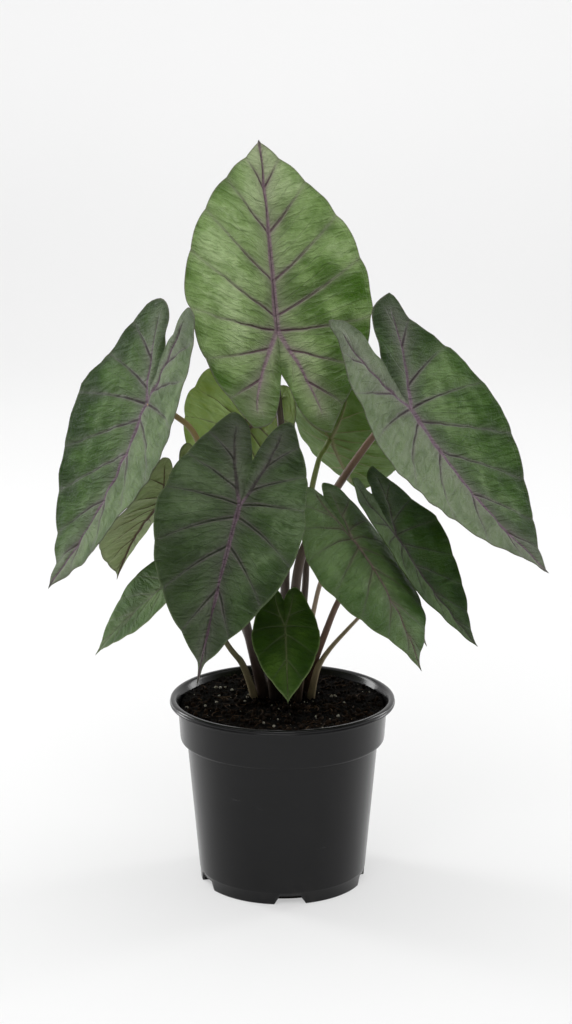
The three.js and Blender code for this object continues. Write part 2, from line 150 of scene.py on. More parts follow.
class Finish:
    """A material's node tree, with one short call for each kind of node."""

    def __init__(self, name):
        self.material = bpy.data.materials.new(name)
        self.material.use_nodes = True
        self.tree = self.material.node_tree
        self.tree.nodes.clear()
        self.spot = self.add("ShaderNodeTexCoord").outputs["Object"]

    def add(self, kind, settings=None, inputs=None):
        """A new node with its settings made and its inputs filled or linked."""
        node = self.tree.nodes.new(kind)
        for key, value in (settings or {}).items():
            setattr(node, key, value)
        for key, value in (inputs or {}).items():
            if isinstance(value, bpy.types.NodeSocket):
                self.tree.links.new(value, node.inputs[key])
            else:
                node.inputs[key].default_value = value
        return node

    def kept(self, name):
        """A float kept on the mesh's points."""
        return self.add("ShaderNodeAttribute", {"attribute_name": name}).outputs["Fac"]

    def map_axes(self):
        """The two coordinates of the piece's own map."""
        place = self.add("ShaderNodeUVMap", {"uv_map": "surface_map"}).outputs["UV"]
        split = self.add("ShaderNodeSeparateXYZ", inputs={"Vector": place})
        return split.outputs["X"], split.outputs["Y"]

    def noise(self, scale, detail=3.0, roughness=0.55, where=None, distortion=0.0):
        """Cloudy noise between 0 and 1."""
        inputs = {
            "Vector": self.spot if where is None else where,
            "Scale": scale,
            "Detail": detail,
            "Roughness": roughness,
            "Distortion": distortion,
        }
        return self.add("ShaderNodeTexNoise", inputs=inputs).outputs["Fac"]

    def cracks(self, scale):
        """How far a point is from the border between the cells of a random pattern."""
        inputs = {"Vector": self.spot, "Scale": scale}
        cells = self.add("ShaderNodeTexVoronoi", {"feature": "DISTANCE_TO_EDGE"}, inputs)
        return cells.outputs["Distance"]

    def fit(self, value, low, high, new_low=0.0, new_high=1.0):
        """A value eased from one range into another and held at its ends."""
        inputs = {"Value": value, "From Min": low, "From Max": high}
        inputs |= {"To Min": new_low, "To Max": new_high}
        settings = {"interpolation_type": "SMOOTHSTEP"}
        return self.add("ShaderNodeMapRange", settings, inputs).outputs["Result"]

    def maths(self, operation, first, second=0.0, clamp=False):
        """One operation on one or two values."""
        settings = {"operation": operation, "use_clamp": clamp}
        return self.add("ShaderNodeMath", settings, {0: first, 1: second}).outputs[0]

    def times(self, first, second, clamp=False):
        """Two values multiplied."""
        return self.maths("MULTIPLY", first, second, clamp)

    def plus(self, first, second, clamp=False):
        """Two values added."""
        return self.maths("ADD", first, second, clamp)

    def less(self, first, second, clamp=False):
        """The second value taken from the first."""
        return self.maths("SUBTRACT", first, second, clamp)

    def joined(self, x, y, z):
        """A place made of three values."""
        return self.add("ShaderNodeCombineXYZ", inputs={"X": x, "Y": y, "Z": z}).outputs["Vector"]

    def squeezed(self, where, scale):
        """A place with its axes scaled: a pattern on it is squeezed by the same factors."""
        inputs = {"Vector": where, "Scale": scale}
        return self.add("ShaderNodeMapping", inputs=inputs).outputs["Vector"]

    def height(self):
        """How high a point is, in metres."""
        return self.add("ShaderNodeSeparateXYZ", inputs={"Vector": self.spot}).outputs["Z"]

    def blend(self, share, first, second):
        """Two colours mixed by a share. A Mix node's sockets for colours are its inputs 6
        and 7 and its output 2; the others are for numbers and vectors."""
        node = self.add("ShaderNodeMix", {"data_type": "RGBA"})
        for socket, value in ((node.inputs[0], share), (node.inputs[6], first), (node.inputs[7], second)):
            if isinstance(value, bpy.types.NodeSocket):
                self.tree.links.new(value, socket)
            else:
                socket.default_value = value
        return node.outputs[2]

    def coats(self, base, *coats):
        """A base colour under coats laid on in turn, each a share and a colour."""
        for share, colour in coats:
            base = self.blend(share, base, colour)
        return base

    def skin(self, colour, roughness, relief, gloss):
        """An opaque surface; gloss is the strength of its reflections."""
        inputs = {
            "Base Color": colour,
            "Roughness": roughness,
            "Normal": relief,
            "Specular IOR Level": gloss,
        }
        return self.add("ShaderNodeBsdfPrincipled", inputs=inputs).outputs[0]

    def bump(self, height, distance, strength):
        """Surface relief too fine for the mesh."""
        inputs = {"Height": height, "Distance": distance, "Strength": strength}
        return self.add("ShaderNodeBump", inputs=inputs).outputs["Normal"]

    def done(self, surface):
        """The finished material."""
        output = self.add("ShaderNodeOutputMaterial")
        self.tree.links.new(surface, output.inputs["Surface"])
        return self.material


# %% [markdown]
# ## The studio
#
# A white sweep runs under the plant and curves up behind it, so floor and
# background have no line between them. The paper glows a little, as a well lit
# cyclorama does, so that shadows stay pale. Soft light comes from a wide panel above
# and a smaller one high in front, and a third one is turned to the wall. Two tall
# narrow panels stand beside the plant and a little behind it: they put a soft band of
# light near each side of the black pot. The room is darker behind the camera, which
# keeps the front of the pot dark.


# %% Build the sweep
def sweep_surface(width=9000.0, front=-2600.0, back=2300.0, bend=900.0, height=5200.0):
    """A floor that runs back, turns up through a quarter circle of radius bend and
    rises as a wall: that profile is carried sideways over the width."""
    turn = np.linspace(0, np.pi / 2, 40)[1:]
    floor = np.linspace(front, back, 30)
    y = np.concatenate([floor, back + bend * np.sin(turn), [back + bend]])
    z = np.concatenate([np.zeros(len(floor)), bend * (1 - np.cos(turn)), [height]])
    x = np.linspace(-width / 2, width / 2, 3)
    rows = np.stack([np.stack([np.full_like(y, v), y, z], axis=-1) for v in x])
    return rows.reshape(-1, 3), grid_triangles(len(x), len(y), flip=True)


sweep_points, sweep_cells = sweep_surface()
sweep_mesh = bpy.data.meshes.new("studio_sweep")
sweep_mesh.from_pydata((sweep_points * MM).tolist(), [], sweep_cells.tolist())
sweep_mesh.polygons.foreach_set("use_smooth", np.ones(len(sweep_cells), bool))
sweep = bpy.data.objects.new("studio_sweep", sweep_mesh)
bpy.context.scene.collection.objects.link(sweep)

PAPER_TONES = ((0.38, 0.38, 0.38, 1), (0.40, 0.40, 0.40, 1))
FLOOR_GLOW = 0.46
WALL_GLOW = 0.52
GLOW_RISE = 0.5
paper = Finish("studio_paper")
paper_inputs = {
    "Base Color": paper.blend(paper.noise(1.5, 2.0), *PAPER_TONES),
    "Roughness": 0.9,
    "Specular IOR Level": 0.0,
    "Emission Color": (1, 1, 1, 1),
    "Emission Strength": paper.fit(paper.height(), 0.0, GLOW_RISE, FLOOR_GLOW, WALL_GLOW),
}
paper_shader = paper.add("ShaderNodeBsdfPrincipled", inputs=paper_inputs)
sweep_mesh.materials.append(paper.done(paper_shader.outputs[0]))
print("sweep:", len(sweep_cells), "triangles")


# %% Hang the lights and light the room
def soft_light(name, place, aim, size, power):
    """A rectangular soft box at a place, turned so that it shines towards aim: it tips
    up from straight down by one angle, and turns to the aim's side by another."""
    data = bpy.data.lights.new(name, "AREA")
    data.shape = "RECTANGLE"
    data.size, data.size_y = size
    data.energy = power
    lamp = bpy.data.objects.new(name, data)
    bpy.context.scene.collection.objects.link(lamp)
    lamp.location = place
    way = np.array(aim) - np.array(place)
    level = np.hypot(way[0], way[1])
    lamp.rotation_euler = (np.arctan2(level, -way[2]), 0, np.arctan2(way[1], way[0]) - np.pi / 2)


# For each light: its place and its aim, its width and height in metres, and its watts.
LIGHTS = {
    "light_above": ((0.0, -0.3, 2.4), (0, 0, 0.2), (4.4, 3.4), 48),
    "light_left": ((-1.5, 0.85, 0.6), (0, 0, 0.15), (0.45, 1.5), 20),
    "light_right": ((1.6, 0.9, 0.6), (0, 0, 0.15), (0.45, 1.5), 15),
    "light_front": ((-0.3, -1.9, 2.1), (0, 0, 0.35), (1.6, 0.8), 21),
    "light_wall": ((0.0, 1.6, 2.4), (0, 3.2, 1.3), (3.6, 0.9), 36),
}
for name, row in LIGHTS.items():
    soft_light(name, *row)

# The room's glow rises from front to back, by the Y of the direction looked in.
ROOM_GLOW = {"From Min": -0.7, "From Max": 0.5, "To Min": 0.10, "To Max": 0.75}
room = bpy.data.worlds.new("room")
bpy.context.scene.world = room
room.use_nodes = True
room_tree = room.node_tree
room_light = room_tree.nodes["Background"]
room_spot = room_tree.nodes.new("ShaderNodeTexCoord")
room_way = room_tree.nodes.new("ShaderNodeSeparateXYZ")
room_tree.links.new(room_spot.outputs["Generated"], room_way.inputs["Vector"])
room_fall = room_tree.nodes.new("ShaderNodeMapRange")
room_fall.interpolation_type = "SMOOTHSTEP"
for key, value in ROOM_GLOW.items():
    room_fall.inputs[key].default_value = value
room_tree.links.new(room_way.outputs["Y"], room_fall.inputs["Value"])
room_tree.links.new(room_fall.outputs["Result"], room_light.inputs["Strength"])
room_light.inputs["Color"].default_value = (1, 1, 1, 1)

# %% [markdown]
# ## The leaves, one row each
#
# Each blade is an arrow shape that has been folded along its midrib, arched across
# and bent along its length. The numbers are the same as in the solid model, so the
# fine blade follows the plain one, and differs by its relief and its rounder
# shoulders. hub is where the stalk joins, and heading, rise and roll aim the blade.
# foot, via and radii lead its stalk up from the soil.
#
# gap is half the space between the lobes' ends, as a share of the half width. sinus is
# how far behind the hub the notch between them ends, as a share of the lobe. belly is
# how far ahead of the hub the blade is widest, and drip how long its drawn-out tip is,
# as shares of the length. fold to twist are bends in degrees. sway, a drift sideways,
# and neck, the stalk's straight end, are in millimetres.

# %% The table of leaves
BLADE_FORM = {
    "gap": 0.33, "sinus": 0.5, "belly": 0.13, "drip": 0.06, "fold": 10, "lobe_fold": 0,
    "arch": 8, "droop": 15, "lobe_bend": 12, "twist": 0, "sway": 0, "neck": 11,
}


def leaf_row(hub, aim, size, foot, via, radii, **form):
    """One leaf: aim is heading, rise and roll in degrees, and size is the length, half
    width and lobe length in millimetres. form changes the usual blade."""
    keys = ("hub", "heading", "rise", "roll", "length", "half_width", "lobe", "foot", "via", "radii")
    return {**BLADE_FORM, **dict(zip(keys, (hub, *aim, *size, foot, via, radii))), **form}


LEAVES = {
    "top": leaf_row(
        (-4, 20, 418), (190, 62, 12), (162, 75, 82),
        (2, 24), [(2, 14, 222), (3, 9, 293), (-1, 12, 348)], (4.2, 2.4),
        gap=0.4, sinus=0.42, belly=0.12, drip=0.04, fold=15, lobe_fold=-14, arch=13,
        droop=13, lobe_bend=20, twist=-2, sway=-6,
    ),
    "left": leaf_row(
        (-99, -14, 369.5), (-62, -68, -1.5), (153, 79, 76),
        (-15, 17), [(-27, 6, 196), (-45, -3, 280), (-62, -7, 341), (-79, -11, 361)], (4.2, 2.1),
        gap=0.285, sinus=0.54, belly=0.03, drip=0.05, fold=7, lobe_fold=-6, arch=-11,
        droop=-20, lobe_bend=4, twist=-2,
    ),
    "right": leaf_row(
        (93, -25, 368), (67, -55, 14), (156, 78, 83),
        (9, 14), [(10, 6, 226), (20, 3, 266), (41, 4, 304), (69, -11, 348)], (4.6, 2.6),
        gap=0.5, sinus=0.5, belly=0.1, drip=0.045, fold=4, arch=-15, droop=-20, lobe_bend=6,
        twist=-4,
    ),
    "front": leaf_row(
        (-30, -75, 308), (-19, -45, -12), (136, 59, 69),
        (-6, 10), [(-14, -22, 209), (-23, -50, 273)], (4, 2.2),
        gap=0.36, sinus=0.55, belly=0.14, drip=0.12, fold=22, lobe_fold=-6, arch=-8,
        droop=26, lobe_bend=6, twist=2,
    ),
    "young": leaf_row(
        (2, -55, 213), (4, -50, 1), (58, 25, 30),
        (2, 5), [(1, -24, 172)], (2.4, 1.3),
        sinus=0.69, belly=0.11, droop=19,
    ),
    "front_right": leaf_row(
        (51, -45, 276), (48.5, -42, -9.5), (110, 55, 50),
        (12, 3), [(23, -18, 214), (31, -32, 247)], (2.6, 1.5),
        gap=0.22, sinus=0.75, belly=0.085, fold=3, lobe_fold=8, arch=30, droop=20,
        lobe_bend=2, twist=8,
    ),
    "right_low": leaf_row(
        (84, -12, 270.5), (67, -56, 7), (102, 43.5, 53),
        (17, 22), [(30, 12, 182), (43, 7, 217), (61, 10, 245), (77, 3, 261)], (3.2, 1.8),
        gap=0.43, sinus=0.65, belly=0.045, drip=0.05, fold=6, lobe_fold=-8, arch=-26,
        droop=-12, lobe_bend=3, twist=-1, neck=4,
    ),
    "left_low": leaf_row(
        (-79, -15, 239), (-92, -38, -13), (87, 39, 43),
        (-21.5, 9), [(-30, 5, 165.5), (-41, -2, 183.5), (-61, -14, 222)], (3, 1.3),
        belly=0.2, drip=0.08, fold=12, arch=10, lobe_bend=10, twist=-8,
    ),
    "back_left_low": leaf_row(
        (-93, 45, 282), (-139, -39, -15), (98, 43, 54),
        (-13, 27), [(-32, 30, 195), (-63, 36, 263)], (3.2, 1.5),
        drip=0.08, fold=13, arch=6, droop=22, lobe_bend=40,
    ),
    "back_left": leaf_row(
        (-27, 66, 335), (200, -47, 66), (128, 60, 67),
        (-4, 34), [(-13, 36, 193), (-21, 42, 287)], (3.8, 1.9),
        belly=0.16, fold=2, arch=18, droop=9, lobe_bend=16,
    ),
    "back_right": leaf_row(
        (37, 66, 328), (168, -38, 20), (120, 52, 62),
        (10, 29), [(17, 24, 219), (20, 29, 281), (27, 39, 315)], (3.4, 1.9),
        belly=0.17, fold=9, arch=-24, droop=-13, lobe_bend=33, twist=-9,
    ),
    "back_right_low": leaf_row(
        (71, 36, 218), (60, -20, 0), (62, 27, 32),
        (22, 9), [(27, 10, 161.5), (36, 19, 174), (51.5, 27, 189.5), (63, 31, 201)], (2.8, 1.1),
        droop=45, drip=0.1,
    ),
}
print("leaves:", ", ".join(LEAVES))

# %% [markdown]
# ## The bent blade
#
# A flat point of the blade has two coordinates: x along the midrib from the hub,
# and y across it. Bending happens in that order of thought: first the cross
# section folds and arches, then the midrib itself bends as one arc in front of the
# hub and another behind it.


# %% From flat blade coordinates to space
def blade_axes(leaf):
    """The blade's own directions: along the midrib, to its left, and out of its face."""
    heading, rise, roll = np.radians([leaf["heading"], leaf["rise"], leaf["roll"]])
    along = np.array([np.cos(rise) * np.sin(heading), -np.cos(rise) * np.cos(heading), np.sin(rise)])
    up = np.array([0, 0, 1.0]) - along[2] * along
    up /= np.linalg.norm(up)
    up = np.cos(roll) * up + np.sin(roll) * np.cross(along, up)
    return along, np.cross(up, along), up


def arc_along(distance, bend, length):
    """How far an arc of constant bend gets along and off its first direction."""
    rate = bend / length if abs(bend) > 1e-6 else 1e-6
    return np.sin(rate * distance) / rate, (1 - np.cos(rate * distance)) / rate


def bend_blade(leaf, x, y):
    """Space for flat points. The section's slope is fold minus arch times the distance
    from the midrib; the midrib is an arc of droop ahead of the hub, of lobe bend behind."""
    ahead = np.clip(x / leaf["length"], 0, 1)
    behind = np.clip(-x / leaf["lobe"], 0, 1)
    fold = np.radians(leaf["fold"] + leaf["lobe_fold"] * behind)
    rate = np.radians(leaf["arch"]) / leaf["half_width"] if leaf["arch"] else 1e-6
    turn = fold - rate * np.abs(y)
    flat_across = (np.sin(fold) - np.sin(turn)) / rate * np.sign(y)
    flat_up = (np.cos(turn) - np.cos(fold)) / rate
    twist = np.radians(leaf["twist"]) * ahead
    across = np.cos(twist) * flat_across - np.sin(twist) * flat_up + leaf["sway"] * ahead**2
    up = np.sin(twist) * flat_across + np.cos(twist) * flat_up
    droop, lobe_bend = np.radians([leaf["droop"], leaf["lobe_bend"]])
    reach, drop = arc_along(np.maximum(x, 0), droop, leaf["length"])
    back_reach, back_drop = arc_along(np.maximum(-x, 0), lobe_bend, leaf["lobe"])
    pitch = np.where(x >= 0, -droop * ahead, -lobe_bend * behind)
    go_along = np.where(x >= 0, reach, -back_reach) - np.sin(pitch) * up
    go_up = np.where(x >= 0, -drop, back_drop) + np.cos(pitch) * up
    along, left, out = blade_axes(leaf)
    return (
        np.array(leaf["hub"])
        + go_along[..., None] * along
        + across[..., None] * left
        + go_up[..., None] * out
    )


def blade_normals(leaf, x, y, step=0.5):
    """The face's outward direction: the cross product of steps along x and along y."""
    by_x = bend_blade(leaf, x + step, y) - bend_blade(leaf, x - step, y)
    by_y = bend_blade(leaf, x, y + step) - bend_blade(leaf, x, y - step)
    normals = np.cross(by_x, by_y)
    return normals / np.linalg.norm(normals, axis=-1, keepdims=True)


# %% [markdown]
# ## The outline and the veins
#
# Side veins run from the midrib to the margin, and in the two lobes behind the
# stalk they start from a strong rib of their own, the costa. The grid follows
# them: each of its lines is a path that a vein takes, so veins can be pressed into
# the mesh crisply with few points.

# %% Lines from the ribs to the margin
FRONT_POINTS = [(1, 0.05), (0.92, 0.16), (0.8, 0.36), (0.65, 0.58), (0.45, 0.8), (0.22, 0.955), (0, 1)]
TIP_WIDTH = 0.015
SHOULDER_REACH = 0.04
SHOULDER_WIDTH = 0.945
SHOULDER_ROOM = 0.09
LOBE_END_STEP = 0.05
LOBE_END_TURN = 0.93
REAR_POINTS = [(0.25, 0.86), (0.5, 0.73), (0.75, 0.59), (0.93, 0.45)]
VEIN_SLANT = 2.4
VEIN_BOW = 0.035
COSTA_REACH = 0.92
COSTA_LENGTH = 0.9
COSTA_SPREAD = 0.85
SCALLOP_BULGE = 1.5
SCALLOP_WANDER = 0.9


def through(points, share):
    """A smooth curve through points, where share runs from 0 to 1 and each span takes
    an equal part of it; the end points count twice."""
    points = np.asarray(points, float)
    spot = np.clip(share, 0, 1) * (len(points) - 1)
    span = np.minimum(spot.astype(int), len(points) - 2)
    t = (spot - span)[:, None]
    before, here = points[np.maximum(span - 1, 0)], points[span]
    there, after = points[span + 1], points[np.minimum(span + 2, len(points) - 1)]
    slope_here, slope_there = (there - before) / 2, (after - here) / 2
    return (
        (2 * t**3 - 3 * t**2 + 1) * here
        + (t**3 - 2 * t**2 + t) * slope_here
        + (3 * t**2 - 2 * t**3) * there
        + (t**3 - t**2) * slope_there
    )


def along_length(curve, shares):
    """Points at shares of a fine curve's length."""
    lengths = np.concatenate([[0], np.cumsum(np.linalg.norm(np.diff(curve, axis=0), axis=1))])
    wanted = np.asarray(shares) * lengths[-1]
    return np.stack([np.interp(wanted, lengths, curve[:, k]) for k in range(curve.shape[1])], axis=-1)


def costa_points(leaf, share):
    """The lobe's own rib: it runs back in proportion to its reach, and spreads as
    1 - (1 - reach)^1.6, which is quick beside the hub and then slow."""
    reach = COSTA_REACH * share**1.5
    spread = COSTA_SPREAD * leaf["gap"] * leaf["half_width"] * (1 - (1 - reach) ** 1.6)
    return np.stack([-COSTA_LENGTH * leaf["lobe"] * reach, spread], axis=-1)


def vein_ends(leaf, t):
    """Where the line of parameter t leaves a rib and meets the margin. t runs from the
    tip (0) to the hub's level (1), round the lobe's end (2) and back to the notch
    between the lobes (3)."""
    length, width, lobe = leaf["length"], leaf["half_width"], leaf["lobe"]
    gap, belly, drip, sinus = leaf["gap"], leaf["belly"], leaf["drip"], leaf["sinus"]
    shoulder_reach = min(SHOULDER_REACH, belly / 2)
    # A blade that is widest close to the hub has no room to draw in at its shoulder.
    drawn_in = min(1, (belly - shoulder_reach) / SHOULDER_ROOM) ** 2
    shoulder_width = 1 - (1 - SHOULDER_WIDTH) * drawn_in
    outline = [(length, 0), ((1 - drip / 2) * length, TIP_WIDTH * width)]
    outline += [((belly + (1 - drip - belly) * s) * length, w * width) for s, w in FRONT_POINTS]
    outline += [(shoulder_reach * length, shoulder_width * width)]
    outline += [(-s * lobe, max(w, gap + LOBE_END_STEP) * width) for s, w in REAR_POINTS]
    outline += [(-lobe, gap * width), (-LOBE_END_TURN * lobe, gap * 0.5 * width)]
    outline += [(-(LOBE_END_TURN / 2 + sinus / 2) * lobe, gap * 0.2 * width), (-sinus * lobe, 0)]
    last = len(outline) - 1
    shoulder = 2 + len(FRONT_POINTS)
    lobe_end = shoulder + len(REAR_POINTS) + 1
    spans = ((0, shoulder), (shoulder, lobe_end), (last, lobe_end))
    front, outer, inner = (through(outline, np.linspace(a, b, 400) / last) for a, b in spans)
    ahead, beside, back = np.clip(t, 0, 1), np.clip(t - 1, 0, 1), np.clip(3 - t, 0, 1)
    margin = np.where(
        (t <= 1)[:, None],
        along_length(front, ahead),
        np.where((t <= 2)[:, None], along_length(outer, beside), along_length(inner, back**1.5)),
    )
    share = np.maximum(0, (margin[:, 0] / length - shoulder_reach) / (1 - shoulder_reach))
    midrib = np.stack([length * share**VEIN_SLANT, np.zeros_like(t)], axis=-1)
    rib = np.where((t <= 1)[:, None], midrib, costa_points(leaf, np.where(t <= 2, beside, back)))
    bow = VEIN_BOW * np.where(t <= 1, 1, np.where(t <= 2, 1 - beside, 0))
    return rib, margin, bow


def vein_paths(leaf, t, b):
    """Flat points of the lines t at shares b of their way from rib to margin: straight,
    but bowed back by a parabola that is highest half way."""
    rib, margin, bow = vein_ends(leaf, t)
    flat = rib[:, None] + (margin - rib)[:, None] * b[..., None]
    far = np.linalg.norm(margin - rib, axis=1)
    flat[..., 0] -= (bow * 4 * far)[:, None] * b * (1 - b)
    return flat, far


def vein_number(leaf, t):
    """Which main vein a line is, counted from the tip, with shares in between."""
    return np.interp(t, [0, *leaf["veins"], 3], np.arange(len(leaf["veins"]) + 2))


def margin_scallops(leaf, t, seed):
    """How far the margin swings out at each line: a bulge between two main veins, and
    slower unevenness, both fading at the tip and in the notch between the lobes."""
    between = vein_number(leaf, t) % 1
    bulge = 4 * between * (1 - between)
    ends = smooth_step(3 - t, 0, 0.8) * smooth_step(t, 0, 0.2)
    uneven = ripple(np.stack([t * 30, 0 * t], axis=-1), 20, seed)
    return (SCALLOP_BULGE * bulge - SCALLOP_WANDER + SCALLOP_WANDER * uneven) * ends


def line_at(leaf, place):
    """The line that meets the margin at a place along the blade: ahead of the hub as a
    share of the length, behind it as a share of the lobe."""
    t = np.linspace(0.01, 1.99, 900)
    margin = vein_ends(leaf, t)[1]
    scaled = np.where(margin[:, 0] > 0, margin[:, 0] / leaf["length"], margin[:, 0] / leaf["lobe"])
    return float(np.interp(-place, -scaled, t))


SMALL_LENGTH = 70.0
VEIN_PLACES = (0.88, 0.749, 0.568, 0.355, 0.065, -0.34, -0.715)
SMALL_VEIN_PLACES = (0.72, 0.42, 0.07, -0.45)
for leaf in LEAVES.values():
    places = SMALL_VEIN_PLACES if leaf["length"] < SMALL_LENGTH else VEIN_PLACES
    leaf["veins"] = [line_at(leaf, place) for place in places]
print("vein lines of the top leaf:", [round(v, 2) for v in LEAVES["top"]["veins"]])

# %% [markdown]
# ## Relief of a leaf
#
# Seen close, the upper face is quilted: each main vein lies in a groove and the
# green between two of them swells up. Underneath, the midrib and the costae stand
# out as round ribs. The margin waves a little. All of this is real shape here, from a
# few tenths of a millimetre to about three millimetres, added along the face's normal.
# Bump could paint it on, but the outline and the export would stay smooth.


# %% Measure the relief fields
def distance_to(flat, path):
    """Each flat point's distance to the nearest point of a path."""
    return np.sqrt(((flat[..., None, :] - path) ** 2).sum(axis=-1)).min(axis=-1)


def leaf_fields(leaf, t, b, side, seed):
    """Everything that shapes or tints a half blade, on the grid of lines t and shares b.
    Ribs, veins and haze fade with the distance d from their lines as exp(-(d / w)^2) or
    exp(-d / w). Swells arch from vein to vein at share n as (4 n (1 - n))^0.8 and from
    rib to margin as sin(pi b^0.8), and waves grow to the margin as b^3."""
    flat, far = vein_paths(leaf, t, b)
    size = np.clip(leaf["length"] / 150, 0.4, 1.1)
    outward = (flat[:, -1] - flat[:, 0]) / np.maximum(far, 1e-6)[:, None]
    scallops = margin_scallops(leaf, t, seed + side) * size
    flat += outward[:, None] * scallops[:, None, None] * b[..., None] ** 5
    costa = costa_points(leaf, np.linspace(0, 1, 70))
    x, y = flat[..., 0], flat[..., 1]
    to_midrib = np.where(x > 0, np.abs(y), np.hypot(x, y))
    to_costa = distance_to(flat, costa)
    ahead = np.clip(x / leaf["length"], 0, 1)
    behind = np.clip(-x / leaf["lobe"], 0, 1)
    paths = vein_paths(leaf, np.array(leaf["veins"]), np.linspace(0, 1, 60))[0]
    to_vein = np.stack([distance_to(flat, path) for path in paths]).min(axis=0)
    number = vein_number(leaf, t)
    between = (number % 1)[:, None] * np.ones_like(b)
    ends = smooth_step(3 - t, 0, 0.5)[:, None] * smooth_step(t, 0, 0.12)[:, None]
    edge_far = (1 - b) * far[:, None]
    waves = ripple(np.stack([t * 26, np.full_like(t, side * 40.0)], axis=-1), 17, seed)[:, None]
    near_midrib = np.exp(-((to_midrib / (size * (2.3 - 1.5 * ahead))) ** 2))
    near_costa = np.exp(-((to_costa / (size * (1.9 - 1.2 * behind))) ** 2)) * (1 - 0.55 * behind)
    haze = np.exp(-np.minimum(to_midrib, to_costa) / (8 * size))
    haze += 0.55 * np.exp(-to_vein / (3 * size))
    return {
        "flat": flat,
        "rib": np.maximum(near_midrib, near_costa),
        "rib_height": size * np.where(x > 0, 2.2 - 1.9 * ahead, 2.2 - 1.7 * behind),
        "vein": np.exp(-((to_vein / (size * (1.25 - 0.85 * b))) ** 2)) * (1 - 0.45 * b),
        "haze": np.clip(haze, 0, 1),
        "swell": (4 * between * (1 - between)) ** 0.8 * np.sin(np.pi * b**0.8) * ends,
        "wave": waves * b**3 * ends * size,
        "uneven": ripple(np.stack([x, y * side], axis=-1), 21, seed + 1) * size,
        "edge_far": edge_far,
        "rim": np.exp(-((edge_far / 0.8) ** 2)),
        "tip": np.exp(-(leaf["length"] - x) / (6 * size)),
        "flat_x": x,
        "flat_y": y,
        "side": np.full_like(x, float(side)),
        "number": number[:, None] * np.ones_like(b),
        "size": size,
    }


def blade_grid(leaf):
    """The lines and shares of the grid: evenly spread lines plus a close bundle beside
    each main vein, and shares that crowd at the rib and at the margin. Inside a lobe
    the lines mirror those outside it, so both start from the same points of the costa."""
    even = np.concatenate([np.linspace(0, 1, 46), 1 + np.linspace(0, 1, 19)])
    close = np.array([-0.03, -0.017, -0.008, 0, 0.008, 0.017, 0.03])
    close *= 1.6 if leaf["length"] < SMALL_LENGTH else 1
    bundles = (np.array(leaf["veins"])[:, None] + close).ravel()
    t = np.unique(np.round(np.concatenate([even, bundles]), 4))
    t = np.concatenate([t, 4 - t[(t >= 1) & (t < 2)][::-1]])
    by_rib = [0, 0.012, 0.026, 0.045, 0.07]
    by_margin = [0.955, 0.975, 0.989, 0.995, 0.9985, 1]
    b = np.array([*by_rib, *np.linspace(0.105, 0.93, 19), *by_margin])
    return t, np.tile(b, (len(t), 1))


print("lines and shares in half the top blade:", blade_grid(LEAVES["top"])[1].shape)

# %% [markdown]
# ## Two faces and a margin
#
# A leaf blade is a thin sheet with a rounded margin. A Solidify modifier could thicken
# a single face, but it would give both faces the same relief. Here each face is a grid
# of its own, so that veins sink into the upper one and stand out of the lower one, and
# the two grids meet in the margin.

# %% Build the closed blade
HALF_THICKNESS = 0.36
MARGIN_ROUNDING = 0.35
SWELL_HEIGHT = 1.7
WAVE_HEIGHT = 1.5
UNEVEN_HEIGHT = 0.6
VEIN_DEPTH = 0.6
RIB_DEPTH = 0.5
SETTLE_REACH = 2.0
BLADE_VALUES = ("rib", "vein", "haze", "swell", "rim", "tip", "flat_x", "flat_y", "side")


def make_blade(name, leaf, seed):
    """A closed blade of two halves, each with an upper and a lower face that meet in a
    rounded margin: half the thickness follows a quarter circle over its rounding.
    Swells and waves lift both faces alike; veins and ribs sink into the upper face and
    stand out of the lower one, and settle to nothing at the margin."""
    t, b = blade_grid(leaf)
    points, triangles, places = [], [], []
    values = {key: [] for key in (*BLADE_VALUES, "under")}
    for side in (1, -1):
        field = leaf_fields(leaf, t, b, side, seed)
        size = field["size"]
        x, y = field["flat"][..., 0], field["flat"][..., 1] * side
        middle = bend_blade(leaf, x, y)
        normal = blade_normals(leaf, x, y)
        inside = np.clip(field["edge_far"] / MARGIN_ROUNDING, 0, 1)
        thin = HALF_THICKNESS * np.sqrt(1 - (1 - inside) ** 2)
        shared = SWELL_HEIGHT * field["swell"] * size + WAVE_HEIGHT * field["wave"]
        shared += UNEVEN_HEIGHT * field["uneven"]
        groove = (VEIN_DEPTH * field["vein"] + RIB_DEPTH * field["rib"]) * size
        ridge = VEIN_DEPTH * field["vein"] * size + field["rib"] * field["rib_height"]
        settle = np.clip(field["edge_far"] / SETTLE_REACH, 0, 1)
        offsets = (shared + thin - groove * settle, shared - thin - ridge * settle)
        for under, offset in enumerate(offsets):
            start = sum(len(p) for p in points)
            points.append((middle + normal * offset[..., None]).reshape(-1, 3))
            triangles.append(grid_triangles(*b.shape, start, flip=(side > 0) == bool(under)))
            places.append(np.stack([field["number"], b], axis=-1).reshape(-1, 2))
            for key in BLADE_VALUES:
                values[key].append(field[key].ravel())
            values["under"].append(np.full(b.size, float(under)))
    values = {key: np.concatenate(parts) for key, parts in values.items()}
    points, triangles, places = (np.concatenate(parts) for parts in (points, triangles, places))
    return make_piece(name, points, triangles, values, places)


# %% [markdown]
# ## The leaf's finish
#
# The upper face is a satin green with lighter cloudy patches, a grey-mauve haze
# along the ribs, and mauve main veins; between them runs a ladder of thin side
# veins and a net of finer ones. The underside is paler with brownish ribs. A leaf
# also lets some light through, so part of the surface is translucent, which is
# what makes the leaves at the back glow yellow-green.


